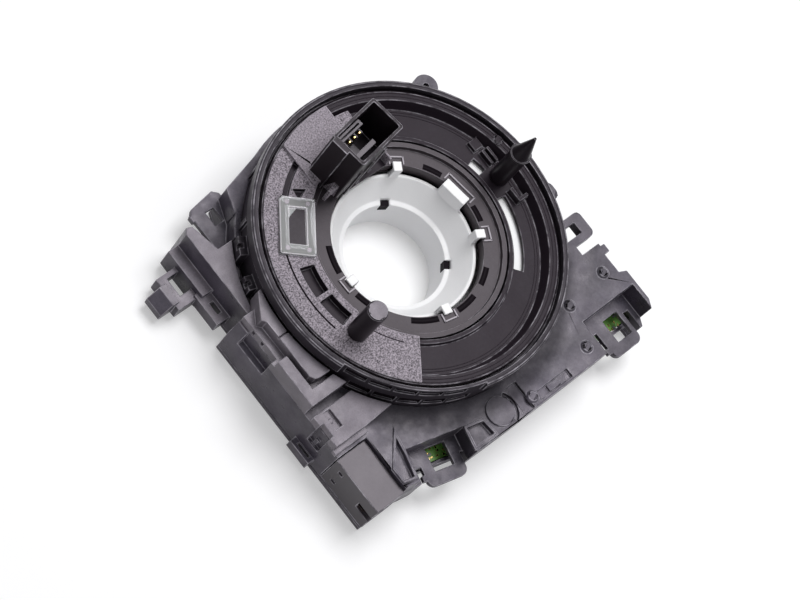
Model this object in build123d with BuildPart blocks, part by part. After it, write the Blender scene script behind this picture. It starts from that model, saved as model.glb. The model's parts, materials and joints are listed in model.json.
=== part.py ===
from build123d import *
import os
from math import cos, radians, sin

# Steering clock spring with steering angle sensor, in millimetres.
# The origin is on the steering axis at the rear end of the sensor ring's bore.
# +Z points to the steering wheel, and -Y is the side with the board connector's mouth.

# Heights along the steering axis
rim_top = 31.0
deck_top = 17.5
well_floor = 9.0
housing_back = -2.0
zone_top = 26.0
zone_step = 3.8
hub_top = 25.5

# Radii of the round cassette
collar_r = 52.5
collar_wall = 2.2
band_step = 1.1
band_height = 6.0
disc_gap = 0.9
outer_band = 3.4
step_width = 1.5
disc_bore_r = 33.4
lip_width = 1.8
lip_rise = 1.2
hub_r = 32.8
hub_bore_r = 25.4
bore_r = 17.0
well_hole_r = 37.5
well_wall = 1.6
rear_hole_r = 28.5

# Walls and clearances
wall = 2.0
deck_thick = 2.0
cover_thick = 1.8
disc_thick = 1.6
floor_thick = 1.5
drum_wall = 1.2
run_gap = 0.3
fit_gap = 0.05
board_gap = 0.6
ledge_wide = 1.0
window_tiers = [(19.5, 3.6, 212.5), (26.7, 2.9, 208.5)]
window_deep = 0.8
window_wide = 6.9
window_count = 5
window_range = 46.0
flat_start = 203.0
flat_end = 256.0
hook_angles = [(144.8, 151.6, 22.0), (158.2, 163.4, 20.5)]
hook_out = 1.7
channel_out = 2.0
channel_low = 12.8
channel_start = 143.5
channel_end = 168.5
rib_count = 12
rib_start = -80.0
rib_range = 240.0
terminal_y0 = -13.0
terminal_y1 = -5.0
terminal_top = 22.5

# Circuit board
board_thick = 1.6
board_top = 2.5
board_hole_r = 27.5

# Ribbon cable, its carrier and rollers
ribbon_thick = 0.25
ribbon_pitch = 0.6
ribbon_turns = 3
ribbon_low = 12.0
ribbon_height = 10.0
carrier_thick = 1.0
roller_count = 4
roller_r = 4.6
axle_r = 1.8
foot_r = 2.0

# Wheel-side socket tower
tower_x = -3.9
tower_y = 30.8
tower_angle = 9.0
tower_long = 20.2
tower_wide = 12.9
tower_top = 53.0
tower_wall = 1.1
tower_floor = 36.0
tower_low = 28.0
carrier_u0 = -8.8
carrier_u1 = 2.5
carrier_v0 = -3.8
carrier_v1 = 5.15
bar_v0 = 3.0
bar_top = 50.0
contact_count = 4
contact_pitch = 2.4
foot_low = 27.3
foot_thick = 1.0
plateau_top = 30.4
plateau_margin = 0.8
plateau_start = 110.0
plateau_end = 232.0
shelf_top = 31.6
shelf_left = -17.7
shelf_right = 3.0
shelf_step = 6.0

# Slots, latches and the sensor ring
slot_in = 35.6
slot_out = 38.8
slot_start = -48.0
slot_end = -9.0
short_slot_start = 6.5
short_slot_end = 14.0
latches = [(57.6, 3.6), (-27.4, 3.6), (181.0, 3.6), (-101.0, 3.6), (9.0, 10.0)]
notch_deep = 0.8
hub_depth = 4.5
ring_wall = 2.0
flange_r = 36.2
ledge_z = 14.0
cone_r = 23.4
cone_z = 21.5
hole_angles = [59.4, -42.9]
code_low = 4.6
code_thick = 0.6
code_r = 30.0
code_slots = 36
fork_angles = [250.0, 290.0]

# Plateau details, clear window, side box and covers
groove_in = 41.2
groove_out = 43.2
groove_start = 114.0
groove_end = 133.0
lens_r = 38.2
lens_polar = 144.8
lens_long = 19.0
lens_wide = 11.5
lens_angle = 51.5
side_top = 24.7
pad_top = 25.6
channel_floor = 21.0
lid_top = 21.0

# Pins on the rotor
cone_pin_r = 3.25
cone_pin_gap = 3.7
cone_pin_shank_top = 43.0
cone_pin_tip = 55.0
cone_taper = 14.0
flat_pin_r = 3.35
flat_pin_gap = 5.1
flat_pin_angle = 201.6
flat_pin_top = 48.0
spigot_r = 1.5
spigot_long = 3.0

# Board connector, its mouth towards -Y
plug_wide = 11.6
plug_low = 1.2
plug_top = 15.8
plug_depth = 20.0
plug_floor_gap = 11.0
plug_wall = 1.3
pin_rows = 8
pin_columns = 2
pin_pitch = 1.5
pin_side = 0.64
pin_column_pitch = 3.4
pin_long = 8.0

# Housing outline at deck level, by its distances from the collar
left_margin = 8.7
upper_left_margin = 3.1
right_margin = 7.7
front_margin = 12.5
plug_front_margin = 8.3
round_margin = 1.1
side_step = 2.8
left_back_y = 10.0
upper_left_y = 31.8
plate_right_y = -36.0
inner_right_x = 53.3
lug_angle = 39.8
lug_out = 7.9
lug_r = 4.2

# Moulded clips, each bay in axes of its own round the middle of its window:
# place and turn, bay sides and back, tongue sides, back of the slots, window
clip_floor = 9.0
clip_thick = 2.0
bay_wall = 1.4
slot_wide = 2.1
tongue_out = 8.2
tongue_round = 2.5
bay_front = -20.0
board_reach = 0.3
sill_top = 4.2
sill_back = -0.1
sill_thick = 1.2
barb = 1.2
barb_long = 2.0
clip_bays = [
    ((52.25, -60.15, 0.0), (-14.85, 9.25, 7.75), (-8.05, 4.95, 2.35), (6.5, 8.3)),
    ((-28.9, -58.4, -13.5), (-14.0, 8.0, 4.5), (-7.4, 7.0, -1.0), (7.1, 7.7)),
]
loop_low = 0.0
loop_high = 6.0
loop_under = 13.5
ear_low = 11.0

# Small forms on the deck
rim_wide = 0.9
rim_high = 0.8
recess_deep = 1.2
dome_r = 2.3
dome_high = 0.8
dome_taper = 40.0
domes = [(55.0, -43.7), (37.1, -45.8), (32.5, -59.5), (5.3, -61.5)]

# Screws that hold the rear cover
screw_r = 1.1
screw_head_r = 2.6
screw_head_high = 1.6
pillar_r = 3.0
pillar_low = 2.5
screw_long = 10.0
well_deep = 2.4

collar_in = collar_r - collar_wall
disc_r = collar_in - disc_gap
outer_zone_r = disc_r - outer_band
plateau_r = disc_r - plateau_margin
zone_in = disc_bore_r + lip_width
zone_out = outer_zone_r - step_width
outer_top = zone_top + zone_step
disc_low = zone_top - disc_thick
outer_low = outer_top - disc_thick - 0.4
drum_r = disc_bore_r + drum_wall
floor_top = well_floor + floor_thick
deck_low = deck_top - deck_thick
cover_top = housing_back + cover_thick
board_low = board_top - board_thick
bay_floor = clip_floor - clip_thick
well_r = collar_r - band_step + fit_gap
well_low = well_floor - floor_thick
cone_pin_x = zone_out - cone_pin_gap
side_r = collar_r + 0.3

# Edges of the housing and places that follow from them
round_r = collar_r + round_margin
left_x = -(collar_r + left_margin)
upper_left_x = -(collar_r + upper_left_margin)
right_x = collar_r + right_margin
front_y = -(collar_r + front_margin)
plug_front_y = -(collar_r + plug_front_margin)
plug_left = left_x
plug_right = plug_left + plug_wide
plug_x = (plug_left + plug_right) / 2
plug_mid = (plug_low + plug_top) / 2
plug_mouth_y = plug_front_y - 0.2
plug_back_y = plug_mouth_y + plug_depth
plug_floor_y = plug_mouth_y + plug_floor_gap

os.makedirs("parts", exist_ok=True)


def ring_sector(r_in, r_out, start, end):
    """A sector of a ring between two radii and two angles in degrees."""
    with BuildSketch() as sector:
        with BuildLine():
            outer = CenterArc((0, 0), r_out, start, end - start)
            inner = CenterArc((0, 0), r_in, start, end - start)
            Line(outer @ 0, inner @ 0)
            Line(outer @ 1, inner @ 1)
        make_face()
    return sector.sketch


def turned(points):
    """A closed profile of radius and height points, on the XZ plane, ready to revolve."""
    with BuildSketch(Plane.XZ) as profile:
        with BuildLine():
            Polyline(*points, close=True)
        make_face()
    return profile.sketch


def block(x0, x1, y0, y1, z0, z1, mode=Mode.ADD):
    """A straight block between two corners, in the open part."""
    with Locations(((x0 + x1) / 2, (y0 + y1) / 2, (z0 + z1) / 2)):
        Box(x1 - x0, y1 - y0, z1 - z0, mode=mode)


def polar(radius, angle):
    """The point at a radius and an angle in degrees."""
    return (radius * cos(radians(angle)), radius * sin(radians(angle)))


def save(piece, name):
    """Label a finished piece and write its file."""
    piece.part.label = name
    export_step(piece.part, f"parts/{name}.step")


lug_place = polar(collar_r + lug_out, lug_angle)
boss_place = (-7.2, front_y + 6.0)
flat_pin_place = polar(zone_out - flat_pin_gap, flat_pin_angle)
screw_places = [
    (right_x - 5.7, front_y + 21.0),
    lug_place,
    (upper_left_x + 5.2, 24.0),
    (left_x + 6.7, front_y + 30.5),
    boss_place,
]


def set_block(place, u0, u1, v0, v1, z0, z1, mode=Mode.ADD):
    """A straight block in the axes of a place, in the open part."""
    with Locations(place * Location(((u0 + u1) / 2, (v0 + v1) / 2, (z0 + z1) / 2))):
        Box(u1 - u0, v1 - v0, z1 - z0, mode=mode)


def polygon(*corners, inset=0.0):
    """A polygon, its sides moved inwards by an inset."""
    with BuildSketch() as shape:
        with BuildLine():
            Polyline(*corners, close=True)
        make_face()
        if inset:
            offset(amount=-inset, kind=Kind.INTERSECTION, mode=Mode.REPLACE)
    return shape.sketch


def rectangle(x0, x1, y0, y1, rounding=0.0):
    """A rectangle between two corners, plain or with round corners."""
    with BuildSketch() as shape:
        with Locations(((x0 + x1) / 2, (y0 + y1) / 2)):
            if rounding:
                RectangleRounded(x1 - x0, y1 - y0, rounding)
            else:
                Rectangle(x1 - x0, y1 - y0)
    return shape.sketch


def raised(shape, low, high, mode=Mode.ADD):
    """A sketch given height, in the open part."""
    extrude(shape.moved(Location((0, 0, low))), amount=high - low, mode=mode)


def outside(shape, radius):
    """What a sketch has outside a circle round the axis."""
    with BuildSketch() as rest:
        add(shape)
        Circle(radius, mode=Mode.SUBTRACT)
    return rest.sketch


# The lower plate seen from above: connector side, front edge, stepped right side and left wall
plate_corners = [
    (left_x, plug_front_y),
    (plug_right + 1.8, plug_front_y + 0.4),
    (plug_right + 5.3, plug_front_y - 0.4),
    (-22.9, front_y + 0.4),
    (5.0, front_y),
    (right_x, front_y),
    (right_x + side_step, front_y + 5.4),
    (right_x + side_step, front_y + 17.3),
    (right_x, front_y + 18.5),
    (right_x, plate_right_y),
    (inner_right_x, plate_right_y),
    (inner_right_x, -26.0),
    (30.0, -20.0),
    (-30.0, 0.0),
    (-30.0, left_back_y),
    (left_x, left_back_y),
]
tip_corners = [
    (upper_left_x, 20.0),
    (upper_left_x, 41.0),
    (upper_left_x + 1.5, 42.6),
    (upper_left_x + 3.4, 41.9),
    (upper_left_x + 5.7, upper_left_y),
    (-45.0, 25.0),
]
back_corners = [(-38.0, 38.0), (-34.8, 46.1), (-17.9, 50.3), (-17.0, 45.0)]


def housing_outline(inset):
    """The outline of the control housing, each of its fields moved inwards by an inset."""
    with BuildSketch() as whole:
        Circle(round_r - inset)
        add(polygon(*plate_corners, inset=inset))
        add(rectangle(upper_left_x + inset, -30.0, 0.0, upper_left_y - inset))
    return whole.sketch


def outer_outline():
    """The housing's outline with its solid corners: tip, back step and screw lug."""
    with BuildSketch() as whole:
        add(housing_outline(0))
        add(polygon(*tip_corners))
        add(polygon(*back_corners))
        with Locations(lug_place):
            Circle(lug_r)
        with Locations(Location((*polar(round_r, lug_angle), 0), (0, 0, lug_angle))):
            Rectangle(2 * (collar_r + lug_out - round_r), 2 * lug_r)
    return whole.sketch


def bay_field(place, u0, u1, v0, v1):
    """A rectangle in the axes of a clip bay."""
    return place * rectangle(u0, u1, v0, v1)


def disc(radius, x=0.0, y=0.0):
    """A round field at a place."""
    with BuildSketch() as field:
        with Locations((x, y)):
            Circle(radius)
    return field.sketch


def within(shape, limit):
    """What two sketches share."""
    with BuildSketch() as shared:
        add(shape)
        add(limit, mode=Mode.INTERSECT)
    return shared.sketch


# Main housing: deck, skirt, round well, clip bays with their tongues, latch loops and screw pillars
outline = outer_outline()
hollow = housing_outline(wall)
finger = [(-40.3, -43.3), (-49.3, -53.2), (-49.3, -58.7), (-44.3, -60.0), (-42.0, -51.9)]
pocket = [(-21.0, -55.8), (-13.5, -57.5), (-12.8, -64.2), (-22.9, -64.0)]
boss = disc(5.0, *boss_place)
crescent = ring_sector(5.0, 6.5, -60, 40).moved(Location((*boss_place, 0)))
well_ring = disc(well_r + well_wall)
well_round = disc(well_r)
well_hole = disc(well_hole_r)
channel = ring_sector(well_r - 0.5, collar_r + channel_out, channel_start, channel_end)
channel_wall = ring_sector(well_r, collar_r + channel_out + bay_wall, channel_start - 2, channel_end + 2)
channel_fill = within(channel_wall, outline)
back_clip_corners = [
    (-46.1, 32.0), (-46.1, 46.5), (-44.6, 48.0), (-35.0, 49.5), (-33.1, 47.7), (-33.1, 40.0), (-38.0, 32.0),
]
back_clip = outside(polygon(*back_clip_corners), round_r - 0.8)
left_step = outside(rectangle(upper_left_x - 4.0, upper_left_x + 1, 23.5, 41.0), round_r)
bays = []
for (x, y, angle), (u0, u1, v1), (t0, t1, slot_v), (wide, high) in clip_bays:
    place = Location((x, y, 0), (0, 0, angle))
    bays.append((
        place,
        within(bay_field(place, u0 - bay_wall, u1 + bay_wall, bay_front, v1 + bay_wall), outline),
        bay_field(place, u0, u1, bay_front, v1),
        bay_field(place, t0 - slot_wide, t1 + slot_wide, bay_front, slot_v),
        within(
            bay_field(place, t0 - slot_wide - wall, t0 - slot_wide, bay_front, sill_back)
            + bay_field(place, t1 + slot_wide, t1 + slot_wide + wall, bay_front, sill_back),
            outline,
        ),
        bay_field(place, t0 - slot_wide - 1, t1 + slot_wide + 1, sill_back - sill_thick, sill_back),
        place * rectangle(t0, t1, -tongue_out, slot_v + tongue_round, tongue_round),
        bay_field(place, -wide / 2, wide / 2, -high / 2, high / 2),
        (t0, t1),
    ))
shoulder = [
    (left_x, clip_floor), (left_x, clip_floor + 2), (left_x + 1.6, deck_top), (left_x + 3.7, deck_top),
    (left_x + 3.7, clip_floor),
]
head_x = upper_left_x - 10.4
wedge = [
    (head_x, 0.5), (head_x, 7.5), (head_x - 2.5, 7.5), (head_x - 6.3, 3.5), (head_x - 6.3, 0.5),
]
with BuildPart() as main_housing:
    raised(outline, cover_top, deck_top)
    raised(hollow, cover_top, deck_low, Mode.SUBTRACT)
    # Loop and ear on the right, ear of the back clip, latch loop and small loop on the left
    raised(rectangle(47.0, 62.5, -32.0, -22.6, 2.0), loop_under, deck_top)
    raised(rectangle(50.5, 61.0, -15.5, -9.0, 2.5), ear_low, deck_top)
    raised(rectangle(51.0, 56.0, -18.0, -14.0, 1.0), ear_low, deck_top)
    block(inner_right_x - 1, right_x + 0.8, plate_right_y - 0.4, plate_right_y + 0.7, deck_low, deck_top)
    block(right_x - 0.7, right_x + 2.4, plate_right_y - 3.4, plate_right_y - 0.4, deck_low, deck_top)
    raised(rectangle(49.5, 58.4, -29.2, -25.2), loop_under - 1, deck_top + 1, Mode.SUBTRACT)
    raised(back_clip, bay_floor, clip_floor)
    block(-46.8, -45.6, 44.0, 46.4, bay_floor, clip_floor)
    block(-41.2, -37.9, 39.6, 44.8, bay_floor - 1, clip_floor + 1, Mode.SUBTRACT)
    raised(left_step, cover_top, clip_floor)
    block(upper_left_x - 11.7, upper_left_x + 0.5, 24.5, 36.3, loop_low, loop_low + loop_high)
    block(upper_left_x - 8.4, upper_left_x - 4.0, 28.0, 34.6, loop_low - 1, loop_low + loop_high + 1, Mode.SUBTRACT)
    with BuildSketch(Plane.XZ.offset(-33.5)):
        add(polygon(*wedge))
    extrude(amount=7.1)
    block(upper_left_x - 5.1, upper_left_x + 0.5, 14.0, 25.7, loop_low + 2, loop_low + 7)
    block(upper_left_x - 2.7, upper_left_x - 1.2, 16.7, 20.9, loop_low + 1, loop_low + 8, Mode.SUBTRACT)
    block(left_x - 2.4, left_x + 0.5, -36.1, -27.1, housing_back + 2, 4.0)
    block(left_x - 1.1, left_x - 0.3, -34.5, -29.2, housing_back + 1, 5.0, Mode.SUBTRACT)
    # Round well for the cassette
    raised(well_ring, well_low, deck_low)
    raised(well_round, well_floor, deck_top + 1, Mode.SUBTRACT)
    raised(well_hole, well_low, well_floor, Mode.SUBTRACT)
    # Channel beside the cassette on the upper left
    raised(channel_fill, channel_low - wall, deck_low)
    raised(channel, channel_low, deck_top + 1, Mode.SUBTRACT)
    # Bay for the board connector, open above, to the side and to the front
    block(
        left_x - 1, plug_right + 0.2, plug_front_y - 1, plug_back_y + 0.2,
        plug_low - 0.2, deck_top + 1, Mode.SUBTRACT,
    )
    block(left_x, plug_right + 0.2, plug_back_y + 0.2, plug_back_y + 1.8, cover_top, deck_low)
    block(plug_right + 0.2, plug_right + 1.8, plug_front_y + 0.8, plug_back_y + 1.8, cover_top, deck_low)
    # Recessed left wall with a ledge and a sloping shoulder, and the tab groove in front of it
    block(left_x, left_x + 4.2, -8.3, left_back_y, clip_floor, deck_low)
    block(left_x - 1, left_x + 2.2, -6.3, left_back_y + 1, clip_floor + 2, deck_top + 1, Mode.SUBTRACT)
    with BuildSketch(Plane.XZ.offset(-left_back_y)):
        add(polygon(*shoulder))
    extrude(amount=4.6)
    block(left_x - 1, left_x + 1.2, -34.9, -30.1, clip_floor, deck_top + 1, Mode.SUBTRACT)
    block(left_x + 0.4, left_x + 1.4, -33.2, -31.8, clip_floor, 13.0)
    # Clip bays along the front edge, each with a sill, a tongue with a barb and a window
    for place, walls, bay, front, sides, sill, tongue, window, (t0, t1) in bays:
        raised(walls, bay_floor, deck_low)
        raised(bay, clip_floor, deck_top + 1, Mode.SUBTRACT)
        raised(front, cover_top - 1, clip_floor, Mode.SUBTRACT)
        raised(sides, cover_top, bay_floor)
        raised(sill, cover_top, sill_top)
        raised(tongue, bay_floor, clip_floor)
        barb_v = tongue_round - tongue_out
        set_block(place, t0 - barb, t0 + 1, barb_v, barb_v + barb_long, bay_floor, clip_floor)
        raised(window, bay_floor - 1, clip_floor + 1, Mode.SUBTRACT)
    # Rimmed fields, boss with a crescent slot, recesses and domes on the deck
    for corners in (finger, pocket):
        raised(polygon(*corners), deck_top - 0.2, deck_top + rim_high)
        inner = polygon(*corners, inset=rim_wide)
        raised(inner, deck_top - recess_deep, deck_top + rim_high + 1, Mode.SUBTRACT)
    raised(boss, deck_top - 0.2, deck_top + rim_high)
    raised(crescent, deck_top - recess_deep, deck_top + rim_high + 1, Mode.SUBTRACT)
    block(-0.5, 4.0, front_y + 0.5, -54.5, deck_top - recess_deep, deck_top + 1, Mode.SUBTRACT)
    block(7.8, 21.8, -64.0, -61.0, deck_top - recess_deep, deck_top + 1, Mode.SUBTRACT)
    block(12.0, 17.0, -63.6, -61.4, deck_top - recess_deep - 0.2, deck_top - 0.2)
    with BuildSketch(Plane.XY.offset(deck_top - 0.1)):
        with Locations(*domes):
            Circle(dome_r)
    extrude(amount=dome_high + 0.1, taper=dome_taper)
    # Screw pillars, their bores and the seats of the cover's studs
    with BuildSketch(Plane.XY.offset(pillar_low)):
        with Locations(*screw_places):
            Circle(pillar_r)
    extrude(amount=deck_low - pillar_low)
    with BuildSketch(Plane.XY.offset(cover_top)):
        with Locations(*screw_places):
            Circle(pillar_r + fit_gap)
    extrude(amount=pillar_low - cover_top, mode=Mode.SUBTRACT)
    with BuildSketch(Plane.XY.offset(pillar_low)):
        with Locations(*screw_places):
            Circle(screw_r + fit_gap)
    extrude(amount=screw_long, mode=Mode.SUBTRACT)
    with BuildSketch(Plane.XY.offset(deck_top - 2.0)):
        with Locations(lug_place):
            Circle(1.0)
    extrude(amount=3.0, mode=Mode.SUBTRACT)

save(main_housing, "main_housing")

# Stator cassette: a floor ring, a wall with its rim band, an inner ledge and two tiers of windows
cassette_profile = turned([
    (drum_r + run_gap, well_floor), (collar_r - band_step, well_floor),
    (collar_r - band_step, rim_top - band_height), (collar_r, rim_top - band_height + band_step),
    (collar_r, rim_top - 0.6), (collar_r - 0.6, rim_top), (collar_in, rim_top),
    (collar_in, outer_low - run_gap), (collar_in - ledge_wide, outer_low - run_gap),
    (collar_in - ledge_wide, outer_low - run_gap - 0.6), (collar_in, outer_low - run_gap - 0.6 - ledge_wide),
    (collar_in, floor_top), (drum_r + run_gap, floor_top),
])
band_cut = ring_sector(collar_r - band_step, collar_r + 1, flat_start, flat_end)
with BuildPart() as stator_cassette:
    revolve(cassette_profile, axis=Axis.Z)
    # Two tiers of windows on the lower left, where the rim band is cut back
    raised(band_cut, rim_top - band_height, rim_top + 1, Mode.SUBTRACT)
    for tier_low, tier_high, tier_start in window_tiers:
        with BuildSketch(Plane.XY.offset(tier_low)):
            with PolarLocations(collar_r, window_count, start_angle=tier_start, angular_range=window_range):
                Rectangle(2 * window_deep + 2 * band_step, window_wide)
        extrude(amount=tier_high, mode=Mode.SUBTRACT)
    # Hooks in the channel on the upper left, each with a notch in its top
    for start, end, top in hook_angles:
        middle = (start + end) / 2
        hook = ring_sector(collar_r - band_step - 0.5, collar_r + hook_out, start, end)
        notch = ring_sector(collar_r + 0.2, collar_r + hook_out + 1, middle - 0.8, middle + 0.8)
        raised(hook, channel_low + run_gap, top)
        raised(notch, top - 2.5, top + 1, Mode.SUBTRACT)
    # Upright ribs round the rest of the wall
    with BuildSketch(Plane.XY.offset(deck_top)):
        with PolarLocations(collar_r - band_step, rib_count, start_angle=rib_start, angular_range=rib_range):
            Rectangle(2 * band_step, 1.4)
    extrude(amount=rim_top - band_height - deck_top)
    # Mouth for the cable terminal
    block(-collar_r, -collar_in + 1.5, terminal_y0, terminal_y1, deck_top, terminal_top, Mode.SUBTRACT)

save(stator_cassette, "stator_cassette")

# Rear cover: a plate with screw wells and a sleeve round the column opening
with BuildPart() as rear_cover:
    raised(outline, housing_back, cover_top)
    for place, walls, bay, front, *rest in bays:
        raised(front, housing_back - 1, cover_top + 1, Mode.SUBTRACT)
    with BuildSketch(Plane.XY.offset(cover_top)):
        with Locations(*screw_places):
            Circle(pillar_r)
    extrude(amount=pillar_low - cover_top)
    with BuildSketch(Plane.XY.offset(housing_back)):
        Circle(rear_hole_r + 1.5)
    extrude(amount=board_low - housing_back)
    with BuildSketch(Plane.XY.offset(housing_back)):
        Circle(rear_hole_r)
        with Locations(*screw_places):
            Circle(screw_head_r + 0.3)
    extrude(amount=well_deep, mode=Mode.SUBTRACT)
    with BuildSketch(Plane.XY.offset(housing_back)):
        Circle(rear_hole_r)
        with Locations(*screw_places):
            Circle(screw_r + fit_gap)
    extrude(amount=pillar_low - housing_back, mode=Mode.SUBTRACT)

save(rear_cover, "rear_cover")

# Circuit board inside the housing, with holes for the rotor and the pillars
board_outline = housing_outline(wall + board_gap)
with BuildPart() as circuit_board:
    with BuildSketch(Plane.XY.offset(board_low)):
        add(board_outline)
        Circle(board_hole_r, mode=Mode.SUBTRACT)
        with Locations(*screw_places):
            Circle(pillar_r + 0.3, mode=Mode.SUBTRACT)
        with Locations((plug_x, (plug_mouth_y + plug_back_y) / 2)):
            Rectangle(plug_wide + 6, plug_back_y - plug_mouth_y + 6, mode=Mode.SUBTRACT)
    extrude(amount=board_thick)
    for place, *rest, (t0, t1) in bays:
        cut = (t0 - slot_wide - wall - board_gap, t1 + slot_wide + wall + board_gap, bay_front, board_reach)
        set_block(place, *cut, board_low - 1, board_top + 1, Mode.SUBTRACT)

save(circuit_board, "circuit_board")

# Screws from behind through the cover wells into the pillars
with BuildPart() as cover_screws:
    head_low = housing_back + well_deep - screw_head_high
    with BuildSketch(Plane.XY.offset(head_low)):
        with Locations(*screw_places):
            Circle(screw_head_r)
    extrude(amount=screw_head_high)
    with BuildSketch(Plane.XY.offset(housing_back + well_deep)):
        with Locations(*screw_places):
            Circle(screw_r)
    extrude(amount=pillar_low + screw_long - 1 - housing_back - well_deep)
    with BuildSketch(Plane.XY.offset(head_low)):
        with Locations(*screw_places):
            RegularPolygon(1.3, 6)
    extrude(amount=1.0, mode=Mode.SUBTRACT)

save(cover_screws, "cover_screws")

# Board connector shroud, its mouth towards -Y, with a key notch in its long side
with BuildPart() as board_connector:
    block(plug_left, plug_right, plug_mouth_y, plug_back_y, plug_low, plug_top)
    block(
        plug_left + plug_wall, plug_right - plug_wall, plug_mouth_y - 1, plug_floor_y,
        plug_low + plug_wall, plug_top - plug_wall, Mode.SUBTRACT,
    )
    block(
        plug_left - 1, plug_left + plug_wall, plug_mouth_y - 1, plug_mouth_y + 6,
        plug_mid - 1.6, plug_mid + 1.6, Mode.SUBTRACT,
    )
    block(
        plug_right - plug_wall - 0.9, plug_right - plug_wall, plug_mouth_y + 1, plug_floor_y,
        plug_mid - 2.2, plug_mid + 2.2,
    )
    # Small square holes of the core in its left side
    for hole_z in (plug_low + 3.0, plug_top - 4.6):
        block(
            plug_left - 1, plug_left + 0.9, plug_back_y - 4.6, plug_back_y - 3.0,
            hole_z, hole_z + 1.6, Mode.SUBTRACT,
        )

save(board_connector, "board_connector")

# Contact pins, two rows of eight, through the shroud's rear wall to the board
with BuildPart() as connector_pins:
    with BuildSketch(Plane.XZ.offset(-plug_floor_y)):
        with Locations((plug_x, plug_mid)):
            with GridLocations(pin_column_pitch, pin_pitch, pin_columns, pin_rows):
                Rectangle(pin_side, pin_side)
    extrude(amount=pin_long)

save(connector_pins, "connector_pins")
# Rotor disc: drum, inner lip, inner zone, step and outer zone, with an arc slot and seats
drum_low = well_floor - run_gap
disc_profile = turned([
    (disc_bore_r, drum_low), (drum_r, drum_low), (drum_r, disc_low), (zone_out + 0.6, disc_low),
    (outer_zone_r, outer_low), (disc_r, outer_low), (disc_r, outer_top - 0.5), (disc_r - 0.5, outer_top),
    (outer_zone_r, outer_top), (zone_out, zone_top), (zone_in, zone_top),
    (zone_in - 0.4, zone_top + lip_rise), (disc_bore_r, zone_top + lip_rise),
])
slot_long = ring_sector(slot_in, slot_out, slot_start, slot_end)
slot_short = ring_sector(slot_in, slot_out, short_slot_start, short_slot_end)
with BuildPart() as rotor_disc:
    revolve(disc_profile, axis=Axis.Z)
    with BuildSketch(Plane.XY.offset(disc_low - 1)):
        add(slot_long)
        add(slot_short)
    extrude(amount=zone_top - disc_low + 2, mode=Mode.SUBTRACT)
    with BuildSketch(Plane.XY.offset(disc_low - 1)):
        with Locations((cone_pin_x, 0)):
            Circle(spigot_r + fit_gap)
    extrude(amount=disc_thick + 2, mode=Mode.SUBTRACT)
    # Small boss on the outer zone, a pad and two ribs beside the slot
    with BuildSketch(Plane.XY.offset(outer_top)):
        with Locations(polar(47.6, 11.5)):
            Circle(1.4)
    extrude(amount=0.6)
    block(38.9, 42.5, 10.8, 14.4, zone_top, zone_top + 1.6)
    for rib_x in (40.4, 42.6):
        block(rib_x, rib_x + 1.0, 4.4, 9.8, zone_top, zone_top + 2.2)
    block(39.4, 43.6, -10.6, -9.4, zone_top, zone_top + 3.0)
    block(39.4, 40.6, -9.4, -5.4, zone_top, zone_top + 3.0)

save(rotor_disc, "rotor_disc")

# Hub ring: skirt, flat face, raised rim and a notched inner wall
skirt_in = hub_r - drum_wall
hub_profile = turned([
    (skirt_in, drum_low), (hub_r, drum_low), (hub_r, hub_top + 1.5), (hub_r - 1.6, hub_top + 1.5),
    (hub_r - 1.8, hub_top), (hub_bore_r, hub_top), (hub_bore_r, hub_top - hub_depth),
    (hub_bore_r + 1, hub_top - hub_depth), (hub_bore_r + 1, hub_top - 1.5), (skirt_in, hub_top - 1.5),
])
with BuildPart() as hub_ring:
    revolve(hub_profile, axis=Axis.Z)
    for angle, wide in latches:
        with BuildSketch(Plane.XY.offset(hub_top - hub_depth - 1)):
            with Locations(Location((*polar(hub_bore_r, angle), 0), (0, 0, angle))):
                Rectangle(notch_deep * 2, wide)
        extrude(amount=hub_depth + 2, mode=Mode.SUBTRACT)

save(hub_ring, "hub_ring")

# White sensor ring: bore, flange under the cassette, cone and latch arms hooked over the hub
flange_low = drum_low - floor_thick
ring_profile = turned([
    (bore_r, 0), (bore_r + ring_wall, 0), (bore_r + ring_wall, flange_low), (flange_r, flange_low),
    (flange_r, drum_low), (bore_r + 2.6, drum_low), (bore_r + 2.6, ledge_z - 1.0),
    (cone_r + 1.1, cone_z - 1.0), (cone_r + 1.1, cone_z), (cone_r, cone_z), (bore_r + 1.6, ledge_z),
    (bore_r, ledge_z - 0.5),
])
with BuildPart() as sensor_ring:
    revolve(ring_profile, axis=Axis.Z)
    for angle, wide in latches:
        for r_in, r_out, low, high in (
            (cone_r - 0.4, cone_r + 1.1, cone_z - 3.0, hub_top + 1.0),
            (cone_r + 1.0, cone_r + 2.2 + notch_deep, hub_top + fit_gap, hub_top + 1.0),
        ):
            with BuildSketch(Plane.XY.offset(low)):
                with Locations(Location((*polar((r_in + r_out) / 2, angle), 0), (0, 0, angle))):
                    Rectangle(r_out - r_in, wide - 0.6)
            extrude(amount=high - low)
    for angle in hole_angles:
        with BuildSketch(Plane.XY.offset(ledge_z - 4)):
            with Locations(Location((*polar(bore_r + 0.6, angle), 0), (0, 0, angle))):
                Rectangle(2.6, 3.0)
        extrude(amount=5, mode=Mode.SUBTRACT)

save(sensor_ring, "sensor_ring")

# Code disc on the sensor ring, read by the fork sensors
with BuildPart() as code_disc:
    with BuildSketch(Plane.XY.offset(code_low)):
        Circle(code_r)
        Circle(bore_r + ring_wall + fit_gap, mode=Mode.SUBTRACT)
        with PolarLocations(code_r - 2.0, code_slots):
            Rectangle(3.0, 2.4, mode=Mode.SUBTRACT)
    extrude(amount=code_thick)

save(code_disc, "code_disc")

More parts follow.
